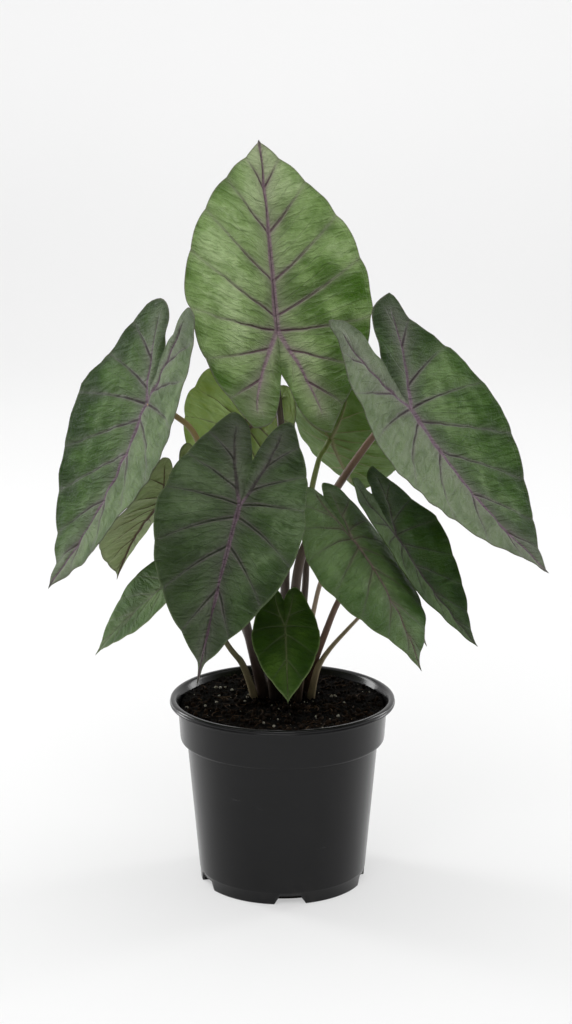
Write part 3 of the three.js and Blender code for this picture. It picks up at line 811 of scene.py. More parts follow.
# %% The patterns of a leaf's skin
def leaf_patterns(f):
    """What the colours follow, by name: the values kept on the mesh, clouds and mottle
    of two sizes, wrinkles, and fine veins. share runs from the rib to the margin."""
    number, share = f.map_axes()
    p = {key: f.kept(key) for key in (*BLADE_VALUES, "under")}
    p["share"] = share
    p["clouds"] = f.noise(24, 4.0, 0.65)
    p["mottle"] = f.noise(150, 4.0, 0.6)
    # Wrinkles leave the midrib nearly at right angles and lean towards the tip.
    lean = f.less(p["flat_x"], f.times(p["flat_y"], 0.3))
    lean = f.plus(lean, f.times(p["clouds"], 14.0))
    where = f.joined(f.times(lean, 0.24), f.times(p["flat_y"], 0.055), f.times(p["side"], 5.0))
    p["wrinkles"] = f.noise(1.0, 3.0, 0.55, where=where, distortion=0.6)
    # Thin veins run beside the main ones, and a line inside the margin collects them.
    beside = f.plus(f.times(number, 3.0), f.times(p["mottle"], 0.12))
    beside = f.maths("ABSOLUTE", f.less(f.maths("FRACT", beside), 0.5))
    beside = f.times(f.fit(beside, 0.44, 0.5), f.fit(share, 0.5, 0.97, 1.0, 0.0))
    collecting = f.fit(f.maths("ABSOLUTE", f.less(share, 0.955)), 0.0, 0.010, 1.0, 0.0)
    net = f.fit(f.cracks(330), 0.0, 0.12, 1.0, 0.0)
    faint = f.maths("MAXIMUM", f.times(collecting, 0.6), f.times(net, 0.4))
    p["fine"] = f.maths("MAXIMUM", beside, faint)
    return p


def by_half(f, p, halves):
    """A value that differs between the blade's left and right half."""
    left, right = halves
    return f.fit(p["side"], -1.0, 1.0, right, left)


# %% Colour the two faces of a leaf
def upper_face(f, p, look):
    """Deep to light green in patches; lighter on the swells as painted light, and darker on
    one half and in the lobes as painted shade; lighter and darker along the wrinkles as
    painted relief shading. Then a painted sheen on one half, the haze along the ribs, the
    mauve veins, darkened as painted groove shade, with a pale band beside them as painted
    highlight, and the ribs, each coat over the last. Veins fade to the margin."""
    deep, green, light = look["deep"], look["green"], look["light"]
    haze, rib, vein = look["haze"], look["rib"], look["vein"]
    clouds, wrinkles, mottle = p["clouds"], p["wrinkles"], p["mottle"]
    regions = f.noise(11, 2.0, 0.5)
    patches = f.plus(f.fit(clouds, 0.34, 0.66, -0.05, 0.6), f.fit(regions, 0.38, 0.62, -0.1, 0.35))
    # Painted light: the swells between the veins are made lighter, as their crests catch the light.
    patches = f.plus(patches, f.times(p["swell"], 0.3), clamp=True)
    # Painted shade: one half of the blade is made a deeper green where it lies out of the light.
    patches = f.less(patches, by_half(f, p, look["shade"]), clamp=True)
    # Painted shade: the lobes behind the hub are made deeper, as they lie in shade.
    painted_lobe_shade = f.fit(p["flat_x"], -60.0, -10.0, look["lobe_shade"], 0.0)
    patches = f.less(patches, painted_lobe_shade, clamp=True)
    # Painted sheen: a pale, waxy-looking coat on the half of the blade that catches the light.
    sheen_coat = f.times(by_half(f, p, look["painted_sheen"]), f.fit(clouds, 0.3, 0.65, 0.55, 1.2))
    sheen_coat = f.times(sheen_coat, f.fit(wrinkles, 0.3, 0.65, 0.6, 1.2), clamp=True)
    faded = f.fit(p["share"], 0.4, 0.9, 1.0, 0.15)
    vein_foot = f.fit(p["vein"], 0.02, 0.2, 0.0, 0.5)
    vein_edge_highlight = f.less(vein_foot, f.fit(p["vein"], 0.25, 0.5, 0.0, 0.5))
    rib_tone = f.coats(
        rib,
        (f.fit(mottle, 0.4, 0.7, 0.0, 0.4), haze),
        (f.fit(p["flat_x"], -14.0, 0.0, 1.0 - look["lobe_rib"], 0.0), vein),
    )
    return f.coats(
        deep,
        (f.fit(patches, 0.0, 0.5), green),
        (f.fit(patches, 0.45, 1.0, 0.0, 0.9), light),
        # Painted relief shading: the wrinkles' crests are made lighter and their hollows deeper.
        (f.fit(wrinkles, 0.48, 0.75, 0.0, 0.3), light),
        (f.fit(wrinkles, 0.28, 0.48, 0.4, 0.0), deep),
        (f.fit(mottle, 0.35, 0.65, 0.25, 0.0), deep),
        (f.times(p["fine"], 0.16), haze),
        (sheen_coat, f.blend(0.5, haze, light)),
        (f.times(p["haze"], look["haze_share"]), haze),
        # The veins are mauve; the pale band beside each one is a painted highlight on the groove's edge,
        # and the dark core is partly painted groove shade.
        (f.times(vein_edge_highlight, faded), f.blend(0.5, haze, rib)),
        (f.times(f.fit(p["vein"], 0.25, 0.85), faded), vein),
        (f.fit(p["rib"], 0.15, 0.6), rib_tone),
    )


def lower_face(f, p, look):
    """A pale underside in clouds, darker green along the wrinkles as painted relief shade,
    under brownish fine veins, veins and ribs.
    """
    under, under_rib = look["under"], look["under_rib"]
    return f.coats(
        under,
        (f.fit(p["clouds"], 0.3, 0.7), f.blend(0.5, under, look["light"])),
        # Painted relief shading: darker green along the wrinkles.
        (f.fit(p["wrinkles"], 0.35, 0.7, 0.0, 0.35), look["green"]),
        (f.times(p["fine"], 0.3), under_rib),
        (f.fit(p["vein"], 0.1, 0.7), under_rib),
        (f.fit(p["rib"], 0.05, 0.5), under_rib),
    )


# %% Make one leaf finish
def leaf_finish(name, look):
    """A leaf material from its look: a satin skin, mixed with a translucent one whose
    glow is stopped by the ribs and veins."""
    f = Finish(name)
    p = leaf_patterns(f)
    colour = f.coats(
        upper_face(f, p, look),
        (p["under"], lower_face(f, p, look)),
        (f.times(p["rim"], 0.8), look["edge"]),
        (f.times(p["tip"], 0.7), look["haze"]),
    )
    height = f.plus(f.times(p["wrinkles"], 2.2), f.times(p["mottle"], 0.35))
    height = f.less(height, f.times(p["fine"], 0.35))
    roughness = f.fit(p["mottle"], 0.2, 0.8, 0.48, 0.62)
    skin = f.skin(colour, roughness, f.bump(height, 0.0021, 0.9), look["gloss"])
    solid = f.maths("MAXIMUM", p["rib"], f.times(p["vein"], 0.7))
    greener = f.blend(0.35, look["glow"], look["green"])
    glow = f.blend(f.fit(p["wrinkles"], 0.3, 0.7), look["glow"], greener)
    passed = f.blend(solid, glow, look["under_rib"])
    lit_through = f.add("ShaderNodeBsdfTranslucent", inputs={"Color": passed}).outputs[0]
    mix_inputs = {0: look["glow_share"], 1: skin, 2: lit_through}
    return f.done(f.add("ShaderNodeMixShader", inputs=mix_inputs).outputs[0])


# %% [markdown]
# ## One look for each leaf
#
# A look names the colours of one leaf. They are set lighter for leaves that catch much
# light and darker for leaves in shade, so besides the leaf's own green they hold painted
# light and shade. deep, green and light are its upper face, haze, rib and vein what lies
# over it, under and under_rib its underside, edge its margin, and glow the light that
# comes through, which makes up glow_share of the surface.
# painted_sheen is how much pale painted sheen lies on the left and right half, where the
# light catches it, and shade how much painted shade deepens their green. gloss is the
# strength of the reflections. lobe_rib says how far the midrib's colour goes on into the
# lobes, and lobe_shade how much painted shade deepens the lobes. Most leaves start from
# one of two looks, satin green or a greyer one.

# %% Give each leaf its look
SATIN = {
    "deep": linear(62, 98, 22),
    "green": linear(134, 162, 98),
    "light": linear(186, 208, 152),
    "haze": linear(166, 160, 148),
    "rib": linear(144, 122, 130),
    "vein": linear(104, 80, 92),
    "under": linear(122, 136, 92),
    "under_rib": linear(104, 84, 76),
    "glow": linear(150, 178, 50),
    "glow_share": 0.25,
    "haze_share": 0.6,
    "painted_sheen": (0.0, 0.0),
    "shade": (0.0, 0.0),
    "gloss": 0.14,
    "lobe_rib": 1.0,
    "lobe_shade": 0.35,
    "edge": linear(120, 112, 104),
}
SATIN_GREY = {
    "deep": linear(22, 52, 2),
    "green": linear(62, 94, 36),
    "light": linear(116, 144, 88),
    "haze": linear(138, 138, 130),
    "rib": linear(134, 112, 124),
    "vein": linear(84, 72, 78),
    "lobe_rib": 0.6,
    "edge": linear(104, 104, 92),
}
# Per leaf, the tones are lighter for leaves in the light and darker for leaves in shade: painted light and
# shade over the leaf's own green.
LOOKS = {
    "top": {"shade": (0.0, 0.1), "lobe_shade": 0.5},
    "left": {**SATIN_GREY, "painted_sheen": (0.4, 0.0), "shade": (0.0, 0.3)},
    "right": {**SATIN_GREY, "painted_sheen": (0.0, 0.7)},
    "front": {
        "lobe_shade": 0.55,
        "deep": linear(18, 42, 4), "green": linear(58, 82, 42), "light": linear(108, 130, 90),
        "haze": linear(112, 110, 106), "rib": linear(124, 104, 114), "vein": linear(62, 64, 56),
        "painted_sheen": (0.1, 0.2), "shade": (0.1, 0.1), "lobe_rib": 0.15, "edge": linear(96, 108, 80),
    },
    "young": {
        "deep": linear(16, 42, 0), "green": linear(42, 74, 10), "light": linear(78, 110, 36),
        "haze": linear(92, 108, 70), "rib": linear(112, 124, 78), "vein": linear(100, 116, 72),
        "haze_share": 0.4, "gloss": 0.12, "edge": linear(130, 150, 96),
    },
    "front_right": {
        "deep": linear(18, 52, 2), "green": linear(60, 96, 36), "light": linear(116, 148, 88),
        "haze": linear(118, 124, 104), "rib": linear(124, 110, 98), "vein": linear(112, 112, 90),
        "painted_sheen": (0.15, 0.35), "lobe_rib": 0.3, "edge": linear(104, 120, 80),
    },
    "right_low": {
        "deep": linear(2, 34, 0), "green": linear(36, 70, 8), "light": linear(104, 134, 76),
        "haze": linear(96, 104, 88), "rib": linear(92, 88, 82), "vein": linear(84, 90, 72),
        "painted_sheen": (0.0, 0.65), "shade": (0.4, 0.0), "gloss": 0.06, "lobe_rib": 0.3,
        "edge": linear(70, 84, 50),
    },
    "left_low": {
        "deep": linear(46, 78, 24), "green": linear(92, 122, 68), "light": linear(126, 150, 102),
        "haze": linear(138, 148, 120), "rib": linear(136, 144, 114), "vein": linear(128, 140, 108),
        "edge": linear(120, 136, 96),
    },
    "back_left_low": {"under": linear(162, 168, 126), "under_rib": linear(98, 78, 66)},
    "back_left": {"under": linear(118, 132, 74), "glow": linear(170, 190, 36), "glow_share": 0.42},
    "back_right": {
        "under": linear(78, 100, 32), "under_rib": linear(150, 146, 108), "glow": linear(112, 150, 20),
        "glow_share": 0.4,
    },
    "back_right_low": {},
}
for seed, (name, leaf) in enumerate(LEAVES.items()):
    blade = make_blade(f"blade_{name}", leaf, 10 * seed + 5)
    blade.data.materials.append(leaf_finish(f"leaf_skin_{name}", {**SATIN, **LOOKS[name]}))
    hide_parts(f"leaf_{name}")

# %% [markdown]
# ## The stalks
#
# A stalk is a round tube carried along a smooth curve through its via points. Low
# down it is thick, because its foot wraps round the younger stalks as a sheath:
# there two thin wings stand up along one side with a hollow between them, and they
# end in a small step where the sheath opens. At the top it swells into the joint
# under the blade.

# %% Carry a section along each stalk
STALK_FOOT = 126.0
SOIL_TOP = 137.5
JOINT_SWELL, JOINT_LENGTH = 0.22, 9.0
FOOT_SWELL, FOOT_LENGTH = 0.12, 9.0
END_ROUNDING = 1.2
WING_TURN, WING_WIDTH, WING_HEIGHT = 0.75, 0.22, 0.42
HOLLOW_WIDTH, HOLLOW_DEPTH = 0.5, 0.22
GROOVE_DEPTH = 0.10
KNOBBLE = 0.025


def stalk_path(leaf, count):
    """The stalk's middle line at equal steps: a curve through the foot, the via points
    and the neck behind the hub, whose end spans lead in along straight lines."""
    up = blade_axes(leaf)[2]
    hub = np.array(leaf["hub"], float)
    points = [(*leaf["foot"], STALK_FOOT), (*leaf["foot"], SOIL_TOP + 2), *leaf["via"]]
    points = np.array([*points, hub - up * leaf["neck"], hub - up * 0.6], float)
    led = np.vstack([2 * points[0] - points[1], points, 2 * points[-1] - points[-2]])
    spans = len(points) - 1
    fine = through(led, (1 + np.linspace(0, spans, 60 * spans)) / (len(led) - 1))
    return along_length(fine, np.linspace(0, 1, count))


def ring_axes(leaf, path):
    """Two directions square to the path at each of its points: one along the blade's
    width, with its part along the path taken off, and their cross product, inward."""
    ahead = np.gradient(path, axis=0)
    ahead /= np.linalg.norm(ahead, axis=1, keepdims=True)
    heading = np.radians(leaf["heading"])
    level = np.array([np.cos(heading), np.sin(heading), 0])
    across = level - (ahead @ level)[:, None] * ahead
    across /= np.linalg.norm(across, axis=1, keepdims=True)
    return across, np.cross(ahead, across)


def tube_triangles(count, around):
    """A tube's wall of count rings with around + 1 points each, and a fan at each end to
    the two middle points that come after the rings'."""
    base = count * (around + 1)
    last = base - (around + 1)
    steps = np.arange(around)
    foot_fan = np.stack([np.full(around, base), steps, steps + 1], axis=-1)
    tip_fan = np.stack([np.full(around, base + 1), last + steps + 1, last + steps], axis=-1)
    return np.concatenate([grid_triangles(count, around + 1, flip=True), foot_fan, tip_fan])


def make_stalk(name, leaf, sheath, seed, around=28, count=150):
    """A tube of radius top + (foot - top) (1 - s)^1.3 at share s of its length, swelling
    as exp(-(d / w)^2) at the joint and the foot. Below the height sheath, in millimetres
    above the soil, two wings stand beside a hollow, each a bell curve round the tube."""
    path = stalk_path(leaf, count)
    across, inward = ring_axes(leaf, path)
    s = np.linspace(0, 1, count)
    foot, top = leaf["radii"]
    height = path[:, 2] - SOIL_TOP
    length = np.linalg.norm(np.diff(path, axis=0), axis=1).sum()
    to_hub = (1 - s) * length
    joint_swell = JOINT_SWELL * np.exp(-((to_hub / JOINT_LENGTH) ** 2))
    foot_swell = FOOT_SWELL * np.exp(-((height / FOOT_LENGTH) ** 2))
    radius = top + (foot - top) * (1 - s) ** 1.3
    radius *= 1 + joint_swell + foot_swell
    cap = np.sqrt(np.clip(1 - (1 - np.clip(to_hub / END_ROUNDING, 0, 1)) ** 2, 0, 1))
    turn = np.linspace(0, 2 * np.pi, around + 1)
    wing = smooth_step(sheath - height, 0, 5) * (0.55 + 0.45 * smooth_step(height, 0, sheath))
    away = np.abs((turn + np.pi) % (2 * np.pi) - np.pi)
    ridge = np.exp(-(((away - WING_TURN) / WING_WIDTH) ** 2))
    hollow = np.exp(-((away / HOLLOW_WIDTH) ** 2))
    section = 1 + wing[:, None] * (WING_HEIGHT * ridge - HOLLOW_DEPTH * hollow)
    section = section - GROOVE_DEPTH * hollow * smooth_step(s, 0.5, 1)[:, None]
    one = np.ones((count, 1))
    up = length * s[:, None] / 6 + 0 * turn
    place = np.stack([3 * np.cos(turn) * one, 3 * np.sin(turn) * one, up], axis=-1)
    section = section * (1 + KNOBBLE * ripple(place, 5, seed))
    reach = (radius * cap)[:, None] * section
    ring = np.cos(turn)[None, :, None] * inward[:, None] + np.sin(turn)[None, :, None] * across[:, None]
    points = (path[:, None] + reach[..., None] * ring).reshape(-1, 3)
    points = np.vstack([points, path[:1], path[-1:]])
    row = np.ones(around + 1)
    values = {
        "up_share": np.append(np.outer(s, row).ravel(), [0, 1]),
        "wing": np.append((wing[:, None] * ridge).ravel(), [0, 0]),
        "above_soil": np.append(np.outer(height, row).ravel(), [height[0], height[-1]]),
    }
    map_height = length / 100
    places = np.stack([(turn / (2 * np.pi)) * one, map_height * s[:, None] * row], axis=-1)
    places = np.vstack([places.reshape(-1, 2), [[0, 0], [0, map_height]]])
    return make_piece(name, points, tube_triangles(count, around), values, places)


print("the top stalk's hub end:", stalk_path(LEAVES["top"], 150)[-1].round(1))

# %% [markdown]
# ## The stalks' finish
#
# Most stalks are nearly black or brown at the foot and turn to olive, amber, mauve or
# lime towards the blade, with fine streaks along them and short dark flecks across. A
# painted image could show that. A colour ramp on the share of the stalk's length gives
# the change without one, and noise squeezed along or across the stalk gives the rest.


# %% Make the stalks' finish
FLECK = (0.01, 0.006, 0.004, 1)
DARK_NEAR_SOIL = (0.014, 0.009, 0.006, 1)


def stalk_finish(name, foot, middle, top, wing):
    """A stalk's skin: its colour changes up the stalk, with fine lengthwise streaks and
    short dark flecks, and the wings' thin edges are paler."""
    f = Finish(name)
    around, up = f.map_axes()
    turn = f.times(around, 2 * np.pi)
    place = f.joined(f.maths("COSINE", turn), f.maths("SINE", turn), up)
    ramp = f.add("ShaderNodeValToRGB", inputs={"Fac": f.kept("up_share")})
    for stop, colour in ((0.0, foot), (0.12, foot), (0.35, middle), (0.6, middle), (0.85, top)):
        mark = ramp.color_ramp.elements[0] if stop == 0.0 else ramp.color_ramp.elements.new(stop)
        mark.color = colour
    ramp.color_ramp.elements[-1].color = top
    bare = ramp.outputs["Color"]
    streaks = f.noise(3.0, 4.0, 0.6, where=f.squeezed(place, (4.0, 4.0, 1.6)))
    flecks = f.noise(6.0, 2.0, 0.5, where=f.squeezed(place, (1.6, 1.6, 22.0)))
    colour = f.coats(
        bare,
        (f.fit(streaks, 0.3, 0.75, 0.0, 0.55), f.blend(0.5, bare, wing)),
        (f.times(f.fit(flecks, 0.55, 0.72), 0.45), f.blend(0.35, bare, FLECK)),
        (f.fit(f.kept("wing"), 0.45, 1.0, 0.0, 0.75), wing),
        # Darker within a few millimetres of the soil.
        (f.fit(f.kept("above_soil"), -1.0, 7.0, 0.7, 0.0), DARK_NEAR_SOIL),
    )
    roughness = f.fit(streaks, 0.2, 0.8, 0.36, 0.5)
    return f.done(f.skin(colour, roughness, f.bump(streaks, 0.0003, 0.7), 0.45))


DARK = (0.030, 0.018, 0.014, 1)
BROWN = (0.060, 0.036, 0.026, 1)
TAN = (0.34, 0.25, 0.17, 1)
OLIVE = (0.16, 0.145, 0.070, 1)
MAUVE = (0.16, 0.088, 0.056, 1)
STRAW = (0.30, 0.23, 0.13, 1)
AMBER = (0.30, 0.21, 0.07, 1)
LIME = (0.20, 0.26, 0.06, 1)
PALE_WING = (0.24, 0.19, 0.14, 1)
GREEN_WING = (0.36, 0.32, 0.20, 1)
# For each stalk: the height its sheath reaches, then the colours of its foot, middle,
# top and wings.
STALKS = {
    "top": (48, DARK, BROWN, DARK, PALE_WING),
    "left": (52, DARK, BROWN, AMBER, (0.30, 0.20, 0.17, 1)),
    "right": (55, DARK, BROWN, MAUVE, (0.30, 0.20, 0.12, 1)),
    "front": (44, DARK, BROWN, MAUVE, PALE_WING),
    "young": (26, DARK, OLIVE, OLIVE, PALE_WING),
    "front_right": (34, BROWN, TAN, TAN, PALE_WING),
    "right_low": (47, DARK, MAUVE, MAUVE, MAUVE),
    "left_low": (37, STRAW, OLIVE, STRAW, GREEN_WING),
    "back_left_low": (40, BROWN, OLIVE, OLIVE, PALE_WING),
    "back_left": (48, DARK, OLIVE, LIME, PALE_WING),
    "back_right": (48, DARK, BROWN, LIME, PALE_WING),
    "back_right_low": (30, STRAW, STRAW, TAN, GREEN_WING),
}
for seed, (name, (sheath, *tones)) in enumerate(STALKS.items()):
    stalk = make_stalk(f"stem_{name}", LEAVES[name], sheath, 300 + seed)
    stalk.data.materials.append(stalk_finish(f"stalk_skin_{name}", *tones))
    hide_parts(f"stalk_{name}")

# %% [markdown]
# ## The pot
#
# The pot is moulded in one piece. Its wall is one closed outline, from the foot up
# the outside, over the rim and down the inside, carried round the axis. Where a
# drainage notch is, the foot of that outline is lifted, and the floor's edge draws
# back, so that the soil shows through.

# %% Turn the pot's wall and floor
RIM_TOP = 143.0
RIM_RADIUS = 85.0
# Corners of the wall, each a radius, a height and how far its rounding reaches: the foot
# and the body outside, the collar, the rim, and the inside down again.
WALL_OUTLINE = [
    (60.6, 0.0, 0.5), (62.3, 0.0, 0.9), (63.0, 9.0, 0.0), (63.3, 9.5, 0.4), (72.2, 109.8, 0.5),
    (76.9, 110.9, 1.1), (77.3, 113.5, 0.0), (78.9, 137.4, 0.8),
    (83.4, 138.3, 0.6), (84.9, 138.6, 0.6), (RIM_RADIUS, 140.1, 0.5), (84.5, 140.5, 0.3),
    (84.6, 141.9, 0.6), (83.4, RIM_TOP, 0.8), (81.2, 142.9, 0.7), (79.7, 141.4, 0.8),
    (77.4, 137.4, 0.8), (75.6, 113.2, 0.8), (70.6, 110.6, 0.8),
]
NOTCH_COUNT = 5
NOTCH_HEIGHT = 6.6
NOTCH_HALF_FOOT = 12.0
NOTCH_HALF_TOP = 8.0
NOTCH_INNER_RADIUS = 50.0
FIRST_NOTCH_DEG = -84.6
FOOT_RADIUS = 62.0
FLOOR_RADIUS = 61.5
FLOOR_TOP = 2.6
FLOOR_EASE = 0.3


def rounded(outline, steps=5):
    """A closed outline with its corners (radius, height, rounding) turned into arcs: each
    corner becomes a parabola from a point before it to a point after it."""
    corners = np.array(outline, float)
    spots, ease = corners[:, :2], corners[:, 2:]
    before, after = np.roll(spots, 1, axis=0) - spots, np.roll(spots, -1, axis=0) - spots
    before /= np.linalg.norm(before, axis=1, keepdims=True)
    after /= np.linalg.norm(after, axis=1, keepdims=True)
    t = np.linspace(0, 1, steps)[:, None, None]
    arcs = (1 - t) ** 2 * (spots + before * ease) + 2 * t * (1 - t) * spots + t**2 * (spots + after * ease)
    return arcs.transpose(1, 0, 2).reshape(-1, 2)


def notch_angles():
    """Angles round the pot: even steps, and close pairs at the notches' edges. With
    them comes each angle's distance along the foot from the nearest notch's middle."""
    centres = np.radians(FIRST_NOTCH_DEG + np.arange(NOTCH_COUNT) * 360 / NOTCH_COUNT)
    foot_edges = (NOTCH_HALF_FOOT + 0.2, NOTCH_HALF_FOOT)
    top_edges = (NOTCH_HALF_TOP, NOTCH_HALF_TOP - 0.4)
    edges = np.array([*foot_edges, *top_edges]) / FOOT_RADIUS
    close = (centres[:, None] + np.concatenate([-edges, edges])).ravel()
    even = np.linspace(0, 2 * np.pi, 288, endpoint=False)
    turn = np.unique(np.round(np.concatenate([even, close % (2 * np.pi)]), 5))
    off = np.abs((turn[:, None] - centres + np.pi) % (2 * np.pi) - np.pi).min(axis=1)
    return turn, off * FOOT_RADIUS


def make_pot():
    """The wall's outline lifted to the notch's height at each angle and carried round,
    and a floor disc whose radius draws in at the notches."""
    turn, off = notch_angles()
    slope = NOTCH_HALF_FOOT - NOTCH_HALF_TOP
    lift = NOTCH_HEIGHT * np.clip((NOTCH_HALF_FOOT - off) / slope, 0, 1)
    wall = rounded(WALL_OUTLINE)
    radius = wall[:, 0][None] + 0 * turn[:, None]
    height = np.maximum(wall[:, 1][None], lift[:, None])
    floor_reach = np.where(off < NOTCH_HALF_FOOT + 0.1, NOTCH_INNER_RADIUS, FLOOR_RADIUS)
    shares = np.array([0, 0.35, 0.7, 0.93, 0.99, 1.0, 1.0, 0.99, 0.93, 0.7, 0.35, 0])
    levels = np.array([0, 0, 0, 0, 0, FLOOR_EASE, FLOOR_TOP - FLOOR_EASE, *[FLOOR_TOP] * 5])
    floor_radius = shares[None] * floor_reach[:, None]
    floor_height = levels[None] + 0 * turn[:, None]
    points, triangles = [], []
    for reach, level, closed in ((radius, height, True), (floor_radius, floor_height, False)):
        ring = np.stack([reach * np.cos(turn)[:, None], reach * np.sin(turn)[:, None], level], axis=-1)
        ring = np.concatenate([ring, ring[:1]])
        start = sum(len(p) for p in points)
        points.append(ring.reshape(-1, 3))
        triangles.append(grid_triangles(*ring.shape[:2], start, wrap=closed, flip=True))
    return make_piece("nursery_pot", np.concatenate(points), np.concatenate(triangles))


print("points in the wall's outline:", len(rounded(WALL_OUTLINE)))

# %% [markdown]
# ## The pot's plastic
#
# The pot is black moulded plastic with a satin shine. It has almost no colour of its
# own: what shows are the soft boxes' reflections, so the roughness matters most. It
# could be one value, but noise varies it a little, as handling does on a real pot. Dust
# low down and thin scuffs round the pot keep it from looking unused.


# %% Give the pot its plastic
PLASTIC_DARK = (0.0010, 0.0010, 0.0014, 1)
PLASTIC_LIGHT = (0.0025, 0.0025, 0.0031, 1)
SCUFF = (0.06, 0.06, 0.062, 1)
DUST = (0.10, 0.09, 0.08, 1)


def pot_finish():
    """Moulded black plastic: a satin skin with a faint orange-peel grain, slight
    mottling from handling, pale dust low down and thin scuffs."""
    f = Finish("pot_black_plastic")
    clouds = f.noise(14, 4.0, 0.6)
    grain = f.noise(900, 2.0, 0.5)
    scuff_place = f.squeezed(f.spot, (40.0, 40.0, 260.0))
    scuffs = f.fit(f.noise(1.0, 3.0, 0.7, where=scuff_place, distortion=0.6), 0.66, 0.8)
    low_down = f.fit(f.height(), 0.0, 0.03, 1.0, 0.0)
    dust = f.times(low_down, f.fit(f.noise(90, 4.0, 0.7), 0.45, 0.75))
    colour = f.coats(
        PLASTIC_DARK,
        (f.fit(clouds, 0.3, 0.7), PLASTIC_LIGHT),
        (f.times(scuffs, 0.25), SCUFF),
        (f.times(dust, 0.10), DUST),
    )
    relief = f.bump(f.plus(f.times(grain, 0.25), clouds), 0.0002, 0.5)
    return f.done(f.skin(colour, f.fit(clouds, 0.25, 0.75, 0.16, 0.25), relief, 0.28))


pot = make_pot()
pot.data.materials.append(pot_finish())
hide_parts("pot")
print("pot triangles:", len(pot.data.polygons))

# %% [markdown]
# ## The soil
#
# The potting soil is dark, crumbly peat that fills the pot. A displacement texture
# could roughen a disc, but only when it is subdivided evenly. Here the top is a round
# grid of its own, lifted by unevenness of several sizes, and its side follows the
# inside of the pot.

# %% Raise the soil
SOIL_FLOOR = 3.2
SOIL_REACH = 76.2
SOIL_SIDE = [(58.0, SOIL_FLOOR), (70.0, 111.0), (75.0, 114.0), (76.4, SOIL_TOP - 1)]


def soil_height(x, y):
    """The soil's top over a point: broad swells, clods and crumbs of falling size."""
    flat = np.stack([x, y], axis=-1)
    clods = np.abs(ripple(flat, 9, 501)) ** 1.3
    crumbs = np.maximum(ripple(flat, 4.2, 502), 0)
    fine = 0.22 * ripple(flat, 1.9, 503, 16)
    return SOIL_TOP - 0.6 + 0.7 * ripple(flat, 42, 500) + 0.9 * clods + 0.6 * crumbs + fine


def make_soil():
    """A closed round body: floor centre, side and top rings, whose top follows the
    height function inside the rim."""
    turn = np.linspace(0, 2 * np.pi, 400, endpoint=False)
    side_radius, side_height = np.array(SOIL_SIDE).T
    top_radius = np.linspace(SOIL_REACH, 0, 110)
    reach = np.concatenate([[0], side_radius, top_radius])
    level = np.concatenate([[SOIL_FLOOR], side_height, np.full(len(top_radius), np.nan)])
    x = reach[:, None] * np.cos(turn)
    y = reach[:, None] * np.sin(turn)
    z = np.where(np.isnan(level)[:, None], soil_height(x, y), level[:, None])
    points = np.stack([x, y, z], axis=-1)
    return make_piece("potting_soil", points.reshape(-1, 3), grid_triangles(*x.shape, wrap=True))


print("soil top at the middle:", soil_height(np.zeros(1), np.zeros(1)).round(2))

# %% [markdown]
# ## Crumbs, perlite and bark
#
# Loose pieces lie on the soil: peat crumbs, grains of white perlite and bark fibres. A
# particle system could scatter them. Arrays do it with the same draws on every run:
# each kind is one small shape, scaled, turned and knocked out of true for all of its
# copies at once, and joined into one mesh.


# %% Shape and scatter the loose pieces
FOOT_CLEARANCE = 1.5


def ball_template(rings=5, sides=8):
    """A small closed ball: rings of points between two poles, with its triangles."""
    fall = np.linspace(0, np.pi, rings + 1)[1:-1]
    turn = np.linspace(0, 2 * np.pi, sides, endpoint=False)
    level = np.outer(np.cos(fall), np.ones(sides))
    round_it = [np.outer(np.sin(fall), wave(turn)) for wave in (np.cos, np.sin)]
    ring = np.stack([*round_it, level], axis=-1)
    points = np.vstack([ring.reshape(-1, 3), [[0, 0, 1], [0, 0, -1]]])
    steps = np.arange(sides)
    after = (steps + 1) % sides
    top, bottom, last = len(points) - 2, len(points) - 1, (rings - 2) * sides
    cap = np.stack([np.full(sides, top), steps, after], axis=-1)
    foot = np.stack([np.full(sides, bottom), last + after, last + steps], axis=-1)
    return points, np.concatenate([grid_triangles(rings - 1, sides, wrap=True, flip=True), cap, foot])


def free_spots(draw, count, outer=74.0):
    """Random spots on the soil, kept off the stalks' feet by moving those inside a foot
    out to its edge."""
    reach = outer * np.sqrt(draw.uniform(0, 1, count))
    turn = draw.uniform(0, 2 * np.pi, count)
    spots = np.stack([reach * np.cos(turn), reach * np.sin(turn)], axis=-1)
    for leaf in LEAVES.values():
        foot = np.array(leaf["foot"])
        off = spots - foot
        far = np.linalg.norm(off, axis=1, keepdims=True)
        clear = leaf["radii"][0] + FOOT_CLEARANCE
        spots = np.where(far < clear, foot + off / np.maximum(far, 1e-6) * clear, spots)
    return spots


def random_turns(draw, count):
    """Random rotations: each is a set of three square directions."""
    first = draw.normal(size=(count, 3))
    first /= np.linalg.norm(first, axis=1, keepdims=True)
    second = np.cross(first, draw.normal(size=(count, 3)))
    second /= np.linalg.norm(second, axis=1, keepdims=True)
    return np.stack([first, second, np.cross(first, second)], axis=1)


